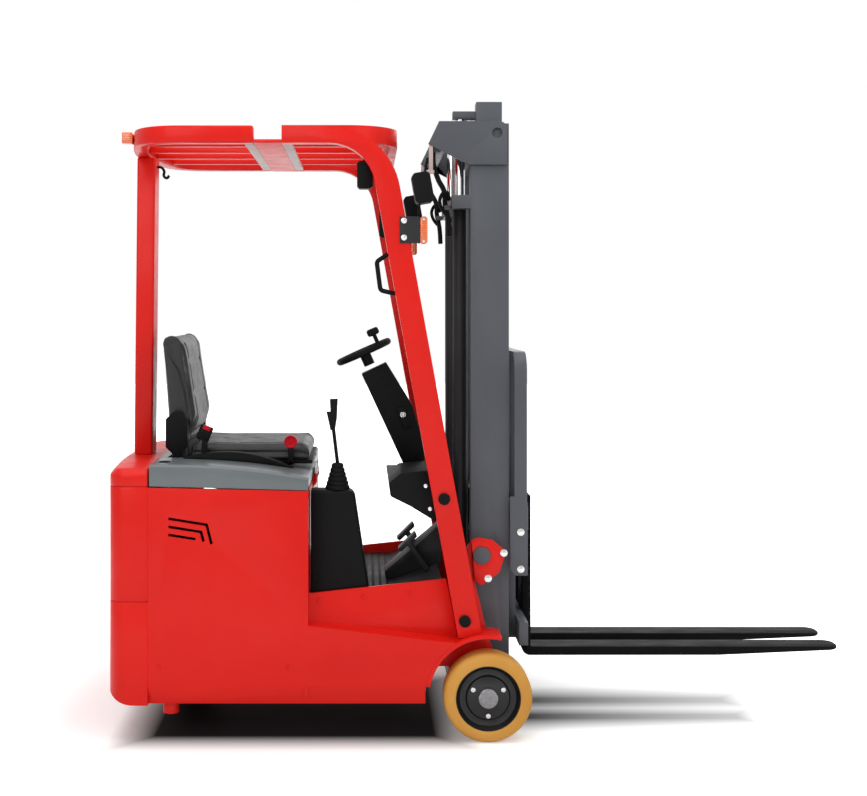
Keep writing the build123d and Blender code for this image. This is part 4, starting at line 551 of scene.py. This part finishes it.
PILLAR_CAPS = ((-140, -445, 780), (-73, -445, 385))
CONSOLE_SCREWS = ((-562, -382.5, 721), (-562, -382.5, 520))
DASH_SCREWS = ((-197, -394, 816), (-183, -394, 741))
TRUNNION_BOLTS = ((61, -370, 592), (9, -370, 508))
SILL_FRONT_X, SILL_FRONT_Z, SILL_SLOPE = -579, 440, 0.09
SIDE_SCREWS = ((-1060, -470, 240), (-640, -470, 240))

settle(both_sides(at_places(dome_cap("pillar_caps", 19, 7), PILLAR_CAPS)), grip_rubber, "truck")
settle(at_places(cap_screw("console_screws", 6, 4), CONSOLE_SCREWS), black_plastic, "truck")
settle(at_places(cap_screw("dash_screws", 7, 4), DASH_SCREWS), bright_steel, "truck")
settle(both_sides(at_places(hex_bolt("trunnion_bolts", 9, 9), TRUNNION_BOLTS)), bright_steel, "truck")
sill_screws = at_places(cap_screw("sill_screws", 8, 4),
                        [(x, -395, SILL_FRONT_Z + (x - SILL_FRONT_X) * SILL_SLOPE)
                         for x in (-545, -400, -250)])
settle(both_sides(sill_screws), red_paint, "truck")
settle(both_sides(at_places(cap_screw("side_screws", 9, 4), SIDE_SCREWS)), red_paint, "truck")

# Carriage: bolts of the backrest and the locking pins of the forks

BACKREST_BOLTS = ((121, -332, 654), (121, -332, 531))
FORK_PIN_X, FORK_PIN_Y = 132, -94

settle(both_sides(at_places(hex_bolt("backrest_bolts", 9, 9), BACKREST_BOLTS)), bright_steel, "carriage")
fork_pin = ease(drum("fork_pins", (FORK_PIN_X, FORK_PIN_Y, 757), 8, 16, "Z", 24), 2)
pin_ball = ease(drum("fork_pin_knob", (FORK_PIN_X, FORK_PIN_Y, 769), 13, 12, "Z", 28), 4, 3)
settle(both_sides(join(fork_pin, pin_ball)), black_plastic, "carriage")

# Hood latch, one at each rear corner of the hood
latch = drum("hood_latch", (-1052, -392, 890), 19, 12, "Z", 36)
inset_face(latch, (0, 0, 1), ((4, 0), (2, -2)))
ease(latch, 0.7)
settle(both_sides(latch), black_plastic, "hood")

# Steering wheel: round rim, three spokes, horn button and spinner knob

WHEEL_PLACE = Matrix.Translation((-0.400, 0, 1.242)) @ Matrix.Rotation(math.radians(-24), 4, "Y")
RIM_R, RIM_WIRE = 92.8, 11.8
SPOKE_TURNS = (90, 210, 330)
SPOKE_MIDDLE, SPOKE_SIZE = 47, (88, 22, 8)
SPINNER_X, SPINNER_Y = 58, -72


def wheel_spoke(turn):
    angle = math.radians(turn)
    spoke = block("spoke", (SPOKE_MIDDLE * math.cos(angle), SPOKE_MIDDLE * math.sin(angle), -3),
                  SPOKE_SIZE, (0, 0, angle))
    inset_face(spoke, (0, 0, 1), ((4, 0), (2, -2)))
    return ease(spoke, 1.6, 2, 40)


def horn_button():
    horn = drum("horn", (0, 0, 2), 34, 14, "Z", 48)
    inset_face(horn, (0, 0, 1), ((7, 0), (2, -1.5), (12, 1.5)))
    return ease(horn, 3, 3, 40)


def spinner_knob():
    neck = drum("knob_neck", (SPINNER_X, SPINNER_Y, 20), 7, 44, "Z", 24)
    knob = drum("knob", (SPINNER_X, SPINNER_Y, 53), 21.5, 25, "Z", 40)
    inset_face(knob, (0, 0, 1), ((9, 0),))
    return [neck, ease(knob, 8, 5, 40)]


bpy.ops.mesh.primitive_torus_add(major_radius=RIM_R * MM, minor_radius=RIM_WIRE * MM, major_segments=88,
                                 minor_segments=18, location=(0, 0, 0))
rim = bpy.context.active_object
rim.name = "wheel_rim"
boss = ease(drum("boss", (0, 0, -22), 19.5, 58, "Z", 40), 2)
join(rim, *[wheel_spoke(turn) for turn in SPOKE_TURNS], boss, horn_button(), *spinner_knob())
rim.data.transform(WHEEL_PLACE)
settle(rim, grip_rubber, "steering_wheel", 40)
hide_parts("steering_wheel")

# Column: switch box with its key
switch_box = ease(block("switch_box", (-257, -52, 1012), (30, 12, 74), (0, math.radians(-20), 0)), 3)
settle(switch_box, black_plastic, "truck")
key_collar = drum("key_collar", (-262, -60, 1022), 10, 6, "Y", 28)
inset_face(key_collar, (0, -1, 0), ((3, 0), (2, -2)))
key_blade = ease(block("key_blade", (-262, -70, 1022), (4, 18, 12)), 1)
key_bow = ease(drum("key_bow", (-262, -84, 1022), 12, 4, "X", 24), 1)
settle(join(ease(key_collar, 0.8), key_blade, key_bow), bright_steel, "truck")

# Hoses from the head of the mast down to the lift cylinders
hoses = [tube("mast_hoses", ((-158, y, 1962), (-166, y, 1900), (-150, y, 1835), (-128, y, 1790),
                             (-126, y, 1752), (-116, y, 1700), (-112, y, 1640)), 8)
         for y in (-262, -240)]
loop = tube("hose_loop", ((-112, -262, 1700), (-140, -268, 1738), (-142, -270, 1770), (-122, -268, 1788),
                          (-112, -262, 1760)), 6)
settle(both_sides(join(hoses[0], hoses[1], loop)), grip_rubber, "mast")
hanger = join(ease(block("hose_hanger", (-176, -306, 1899), (14, 5, 84)), 1.5),
              ease(block("hanger_foot", (-178, -303, 1852), (26, 14, 12)), 1.5))
settle(both_sides(hanger), strip_paint, "mast")
hose_clips = at_places(ease(block("hose_clips", (0, 0, 0), (22, 56, 16)), 3),
                       ((-118, -251, 1735), (-152, -251, 1930)))
settle(both_sides(hose_clips), mast_paint, "mast")

# Floor mat: raised ribs across the flat of the floor plate

RIB_SIZE, RIB_PITCH = (9, 655, 3), 24
RIB_REAR_X, RIB_FRONT_X = -560, -310
ribs = at_places(ease(block("floor_ribs", (0, 0, 0), RIB_SIZE), 1),
                 [(x, 44, 456) for x in range(RIB_REAR_X, RIB_FRONT_X, RIB_PITCH)])
settle(ribs, grip_rubber, "truck")

# Coat hook on the front of the rear post
settle(tube("coat_hook", ((-1139, 0, 1902), (-1122, 0, 1899), (-1113, 0, 1886), (-1114, 0, 1870),
                          (-1104, 0, 1862), (-1095, 0, 1871)), 5), black_plastic, "truck")

# Seat belt buckle and release knob
buckle = ease(block("buckle", (-938, -247, 975), (44, 19, 52), (0, math.radians(22), 0)), 5, 3)
buckle_stem = ease(block("buckle_stem", (-938, -247, 915), (20, 18, 92)), 2)
knob_stem = ease(block("knob_stem", (-647, -247, 899), (18, 18, 60)), 2)
foot_bars = [ease(block("foot", (x, -238, 875), (20, 36, 11)), 1) for x in (-938, -647)]
controls = settle(join(buckle, buckle_stem, knob_stem, *foot_bars), black_plastic, "hood")
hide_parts("seat_controls")
release_knob = drum("release_knob", (-647, -247, 946), 22, 20, "Y", 36)
inset_face(release_knob, (0, -1, 0), ((6, 0), (3, -2)))
settle(ease(release_knob, 5, 3), red_plastic, "hood")
buckle_button = ease(block("buckle_button", (-930, -256, 992), (26, 3, 14), (0, math.radians(22), 0)), 1)
settle(buckle_button, red_plastic, "hood")


# Lamps: bezels and lenses

LAMP_TURN = math.radians(10)
LENS_AT = (-0.184, 0.457, 1.783)
BRACKET_BOLTS = ((-270, -449, 1680), (-270, -449, 1625))
LENS_SCREWS = ((-206, -446.5, 1684), (-206, -446.5, 1613))

for lamp_side, lamp_name in ((-1, "right"), (1, "left")):
    lens_disc = drum("headlight_lens_" + lamp_name, (0, 0, 0), 18, 5, "X", 40)
    inset_face(lens_disc, (1, 0, 0), ((3, 0), (2, -1), (6, 0.5)))
    ease(lens_disc, 0.8)
    lens_disc.data.transform(Matrix.Translation((LENS_AT[0], lamp_side * LENS_AT[1], LENS_AT[2]))
                             @ Matrix.Rotation(LAMP_TURN, 4, "Y"))
    settle(lens_disc, clear_lens, "truck")
settle(both_sides(at_places(hex_bolt("bracket_bolts", 7, 7), BRACKET_BOLTS)), bright_steel, "truck")
settle(both_sides(at_places(cap_screw("lens_screws", 4, 3), LENS_SCREWS)), bright_steel, "truck")

# Lever boot: stacked folds over a tapering core

BOOT_X, BOOT_Y = -487, -342
BOOT_FOLDS, BOOT_LOW_Z, BOOT_PITCH = 6, 807, 14.2
BOOT_R, BOOT_STEP, BOOT_FOLD_WIRE = 33, 4, 6.6
BOOT_NARROWS, BOOT_FOOT_Z, BOOT_HEIGHT = 0.55, 0.800, 0.085

boot_core = drum("boot_core", (BOOT_X, BOOT_Y, 841), 30, 82, "Z", 40)
folds = []
for fold in range(BOOT_FOLDS):
    bpy.ops.mesh.primitive_torus_add(location=Vector((BOOT_X, BOOT_Y, BOOT_LOW_Z + fold * BOOT_PITCH)) * MM,
                                     major_radius=(BOOT_R - BOOT_STEP * fold) * MM,
                                     minor_radius=BOOT_FOLD_WIRE * MM, major_segments=44, minor_segments=12)
    folds.append(bpy.context.active_object)
inset_face(boot_core, (0, 0, 1), ((10, 0),))
for vertex in boot_core.data.vertices:
    narrow = 1 - BOOT_NARROWS * (vertex.co.z - BOOT_FOOT_Z) / BOOT_HEIGHT
    vertex.co.x = BOOT_X * MM + (vertex.co.x - BOOT_X * MM) * narrow
    vertex.co.y = BOOT_Y * MM + (vertex.co.y - BOOT_Y * MM) * narrow
join(boot_core, *folds)
boot_core.name = "bellows"
settle(boot_core, grip_rubber, "truck", 50)
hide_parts("lever_boot")

# Seat: padded cushion and back, blown up under pressure and then sewn in

VOXEL = 0.0055
PAD_ROUND, PAD_FILL = 13, 0.6
CLOTH_FRAMES, CLOTH_QUALITY, CLOTH_PRESSURE = 20, 4, 4


def shrink_by(piece, margins):
    # Draws a piece in towards its middle by a margin along each axis.
    corners = [vertex.co for vertex in piece.data.vertices]
    low = Vector([min(c[i] for c in corners) for i in range(3)])
    high = Vector([max(c[i] for c in corners) for i in range(3)])
    middle = (low + high) / 2
    scale = [(high[i] - low[i] - 2 * margins[i] * MM) / (high[i] - low[i]) for i in range(3)]
    piece.data.transform(Matrix.Translation(middle) @ Matrix.Diagonal((*scale, 1))
                         @ Matrix.Translation(-middle))


def inflate(piece, held, cap):
    # Blows a piece up as cloth under pressure; held points stay, and none moves further than cap.
    start = [vertex.co.copy() for vertex in piece.data.vertices]
    group = piece.vertex_groups.new(name="held")
    group.add([i for i, place in enumerate(start) if held(place)], 1.0, "REPLACE")
    cloth = piece.modifiers.new("cloth", "CLOTH")
    cloth.settings.quality = CLOTH_QUALITY
    cloth.settings.use_pressure = True
    cloth.settings.uniform_pressure_force = CLOTH_PRESSURE
    cloth.settings.vertex_group_mass = "held"
    cloth.settings.effector_weights.gravity = 0
    cloth.point_cache.frame_start = 1
    cloth.point_cache.frame_end = CLOTH_FRAMES
    for step in range(1, CLOTH_FRAMES + 1):
        bpy.context.scene.frame_set(step)
    make_active(piece)
    bpy.ops.object.modifier_apply(modifier="cloth")
    bpy.context.scene.frame_set(1)
    for vertex, place in zip(piece.data.vertices, start):
        move = vertex.co - place
        if move.length > cap * MM:
            vertex.co = place + move.normalized() * cap * MM
    piece.vertex_groups.clear()


def press_furrows(piece, furrows):
    # Sinks the surface along each furrow: a distance to it, a depth and a width.
    normals = [vertex.normal.copy() for vertex in piece.data.vertices]
    for vertex, normal in zip(piece.data.vertices, normals):
        sink = 0
        for distance, depth, width in furrows:
            sink += depth * math.exp(-(distance(vertex.co) / (width * MM)) ** 2)
        vertex.co -= normal * sink * MM


def pad(name, node, shrink, cap, held, furrows):
    # A padded piece in the place of its solid; held says which points stay put.
    piece = merged_copy(name, node)
    shrink_by(piece, shrink)
    ease(piece, PAD_ROUND, 3, 40)
    make_active(piece)
    piece.data.remesh_voxel_size = VOXEL
    bpy.ops.object.voxel_remesh()
    inflate(piece, held, cap)
    fine = piece.modifiers.new("fine", "SUBSURF")
    fine.levels = fine.render_levels = 1
    bpy.ops.object.modifier_apply(modifier="fine")
    press_furrows(piece, furrows)
    for polygon in piece.data.polygons:
        polygon.use_smooth = True
    dress(piece, seat_vinyl)
    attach(piece, "hood")
    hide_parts(node)
    return piece


def to_line(co, line):
    # Distance in the side view from a point to a bent line, in metres.
    best = 1
    for (ax, az), (bx, bz) in zip(line, line[1:]):
        run = Vector((bx - ax, bz - az)) * MM
        offset = Vector((co.x - ax * MM, co.z - az * MM))
        share = min(1, max(0, offset.dot(run) / run.dot(run)))
        best = min(best, (offset - run * share).length)
    return best


SHELL_SEAM = ((-1075, 1262), (-1026, 1188), (-1006, 1122), (-996, 1060), (-998, 1000))
CUSHION_SEAM = ((-996, 908), (-620, 908), (-596, 900))
cushion_furrows = (
    (lambda co: abs(abs(co.y) - 0.168) if co.z > 0.915 else 1, 4, 6),
    (lambda co: abs(co.x + 0.655) if co.z > 0.915 and abs(co.y) < 0.17 else 1, 3, 6),
    (lambda co: abs(co.x + 0.835) if co.z > 0.915 and abs(co.y) < 0.17 else 1, 2.5, 6),
    (lambda co: to_line(co, CUSHION_SEAM) if abs(co.y) > 0.2 else 1, 2, 4),
    (lambda co: min((co - Vector((x, 0, 0.929))).length for x in (-0.891, -0.782)), 5, 14),
)
back_furrows = (
    (lambda co: abs(abs(co.y) - 0.15) if co.x > -1.02 else 1, 5, 7),
    (lambda co: abs(co.z - 1.215) if co.x > -1.03 and abs(co.y) < 0.15 else 1, 4, 7),
    (lambda co: abs(co.z - 1.105) if co.x > -1.03 and abs(co.y) < 0.15 else 1, 4, 7),
    (lambda co: to_line(co, SHELL_SEAM) if abs(co.y) > 0.19 else 1, 4, 5),
)
pad("cushion_pad", "seat_cushion", (7, 7, 2), 8, lambda co: co.z < 0.890, cushion_furrows)
pad("back_pad", "seat_back", (7, 7, 4), 9, lambda co: co.z < 0.935 or co.x < -1.075, back_furrows)
buttons = at_places(ease(drum("cushion_buttons", (0, 0, 0), 8, 5, "Z", 24), 2, 2, 40),
                    ((-891, 0, 925), (-782, 0, 925)))
settle(buttons, black_plastic, "hood")

# Floor, backdrop and light

# The dark patch under the truck's body and the streaks under the forks are painted shadow in the floor's
# colour, set by place on the floor; they stay where they are when the bodies move.
FLOOR_SIZE = 40
FLOOR_COLOUR, PAINTED_SHADOW_COLOUR = (0.95, 0.95, 0.95), (0.01, 0.01, 0.012)
FLOOR_ROUGHNESS, FLOOR_SPECULAR = 0.7, 0.1
# The painted shadow is moved towards the truck's right side by SHADE_SHIFT, drawn in from the boxes' edges
# and faded out over SHADE_FADE.
SHADE_SHIFT = -0.10
SHADE_FADE = 0.15
BODY_SHADE_IN = 0.17
FORK_SHADE_IN = 0.03
FORK_SHADE_SHORT = 0.34
NEAR_GLOW = 0.3
FAR_GLOW = 1.0
FAR_START, FAR_END = 0.3, 1.6


def seen_ray(tree):
    # Rays that show the white backdrop: from the camera, or by way of gloss or glass.
    rays = node_of(tree, "ShaderNodeLightPath")
    total = rays.outputs["Is Camera Ray"]
    for kind in ("Is Glossy Ray", "Is Transmission Ray"):
        either = node_of(tree, "ShaderNodeMath", operation="MAXIMUM")
        tree.links.new(total, either.inputs[0])
        tree.links.new(rays.outputs[kind], either.inputs[1])
        total = either.outputs["Value"]
    return total


def outside_of(tree, split, centre, half):
    # How far a point of the floor lies outside a box that the far side mirrors.
    mirrored = node_of(tree, "ShaderNodeMath", operation="ABSOLUTE")
    tree.links.new(split.outputs["Y"], mirrored.inputs[0])
    beyond = []
    for source, middle, reach in zip((split.outputs["X"], mirrored.outputs["Value"]), centre, half):
        shifted = node_of(tree, "ShaderNodeMath", operation="SUBTRACT")
        away = node_of(tree, "ShaderNodeMath", operation="ABSOLUTE")
        less = node_of(tree, "ShaderNodeMath", operation="SUBTRACT")
        tree.links.new(source, shifted.inputs[0])
        tree.links.new(shifted.outputs["Value"], away.inputs[0])
        tree.links.new(away.outputs["Value"], less.inputs[0])
        shifted.inputs[1].default_value = middle
        less.inputs[1].default_value = reach
        beyond.append(less.outputs["Value"])
    outside = node_of(tree, "ShaderNodeMath", operation="MAXIMUM")
    tree.links.new(beyond[0], outside.inputs[0])
    tree.links.new(beyond[1], outside.inputs[1])
    return outside.outputs["Value"]


def under_node(tree, split, low, high, shrink):
    # The floor's box under a span of the truck, drawn in from its edges.
    centre = [(low[i] + high[i]) / 2 for i in (0, 1)]
    half = [(high[i] - low[i]) / 2 - shrink for i in (0, 1)]
    return outside_of(tree, split, centre, half)


def add_floor():
    bpy.ops.mesh.primitive_plane_add(size=FLOOR_SIZE, location=(0, 0, 0))
    floor = bpy.context.active_object
    floor.name = "floor"
    material, tree, shader = new_material("floor_white")
    shader.inputs["Roughness"].default_value = FLOOR_ROUGHNESS
    shader.inputs["Specular IOR Level"].default_value = FLOOR_SPECULAR
    shader.inputs["Emission Color"].default_value = (1, 1, 1, 1)
    place = node_of(tree, "ShaderNodeTexCoord")
    shift = node_of(tree, "ShaderNodeMapping")
    shift.inputs["Location"].default_value = (0, -SHADE_SHIFT, 0)
    split = node_of(tree, "ShaderNodeSeparateXYZ")
    tree.links.new(place.outputs["Object"], shift.inputs["Vector"])
    tree.links.new(shift.outputs["Vector"], split.inputs["Vector"])
    body_low, body_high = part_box("body_sides")
    weight_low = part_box("counterweight")[0]
    fork_low, fork_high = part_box("fork_left")
    under_body = under_node(tree, split, (weight_low[0], body_low[1]), (0, body_high[1]), BODY_SHADE_IN)
    under_fork = under_node(tree, split, fork_low, (fork_high[0] - FORK_SHADE_SHORT, fork_high[1]),
                            FORK_SHADE_IN)
    nearest = node_of(tree, "ShaderNodeMath", operation="MINIMUM")
    tree.links.new(under_body, nearest.inputs[0])
    tree.links.new(under_fork, nearest.inputs[1])
    # Painted shadow: the floor's colour goes dark inside the boxes under the body and the forks, and its
    # glow is held back there so that the painted shade shows.
    lit = spread(tree, nearest.outputs["Value"], 0, 1, 0, SHADE_FADE)
    tree.links.new(two_colours(tree, lit, PAINTED_SHADOW_COLOUR, FLOOR_COLOUR), shader.inputs["Base Color"])
    glow = node_of(tree, "ShaderNodeMath", operation="ADD")
    tree.links.new(spread(tree, lit, 0, NEAR_GLOW, 0, 1), glow.inputs[0])
    tree.links.new(spread(tree, under_body, 0, FAR_GLOW, FAR_START, FAR_END), glow.inputs[1])
    seen_glow = node_of(tree, "ShaderNodeMath", operation="MULTIPLY")
    tree.links.new(glow.outputs["Value"], seen_glow.inputs[0])
    tree.links.new(seen_ray(tree), seen_glow.inputs[1])
    tree.links.new(seen_glow.outputs["Value"], shader.inputs["Emission Strength"])
    dress(floor, material)


WORLD_LIGHT, SEEN_WHITE = 0.38, 1


def add_world():
    world = bpy.data.worlds.new("studio")
    bpy.context.scene.world = world
    world.use_nodes = True
    tree = world.node_tree
    light = tree.nodes["Background"]
    light.inputs["Color"].default_value = (1, 1, 1, 1)
    light.inputs["Strength"].default_value = WORLD_LIGHT
    seen = node_of(tree, "ShaderNodeBackground")
    seen.inputs["Color"].default_value = (1, 1, 1, 1)
    seen.inputs["Strength"].default_value = SEEN_WHITE
    mix = node_of(tree, "ShaderNodeMixShader")
    tree.links.new(seen_ray(tree), mix.inputs["Fac"])
    tree.links.new(light.outputs["Background"], mix.inputs[1])
    tree.links.new(seen.outputs["Background"], mix.inputs[2])
    tree.links.new(mix.outputs["Shader"], tree.nodes["World Output"].inputs["Surface"])


def add_softbox(name, at, toward, size, watts):
    data = bpy.data.lights.new(name, "AREA")
    data.shape = "RECTANGLE"
    data.size, data.size_y = size
    data.energy = watts
    lamp = bpy.data.objects.new(name, data)
    lamp.location = at
    lamp.rotation_euler = (Vector(toward) - Vector(at)).to_track_quat("-Z", "Y").to_euler()
    bpy.context.scene.collection.objects.link(lamp)


# Each softbox: name, place, what it looks at, size in metres and power in watts
SOFTBOXES = (
    ("overhead", (-0.3, -0.6, 4.6), (-0.3, 0, 0.6), (5, 4), 130),
    ("front_side", (-2.6, -5.0, 3.4), (-0.3, 0, 0.8), (3, 3), 85),
    ("fork_side", (3.2, -4.2, 3.0), (-0.3, 0, 0.8), (3, 3), 50),
    ("far_side", (1.5, 4.8, 3.0), (-0.2, 0, 0.9), (3, 3), 40),
)

deselect()
add_camera()
add_floor()
add_world()
for softbox in SOFTBOXES:
    add_softbox(*softbox)
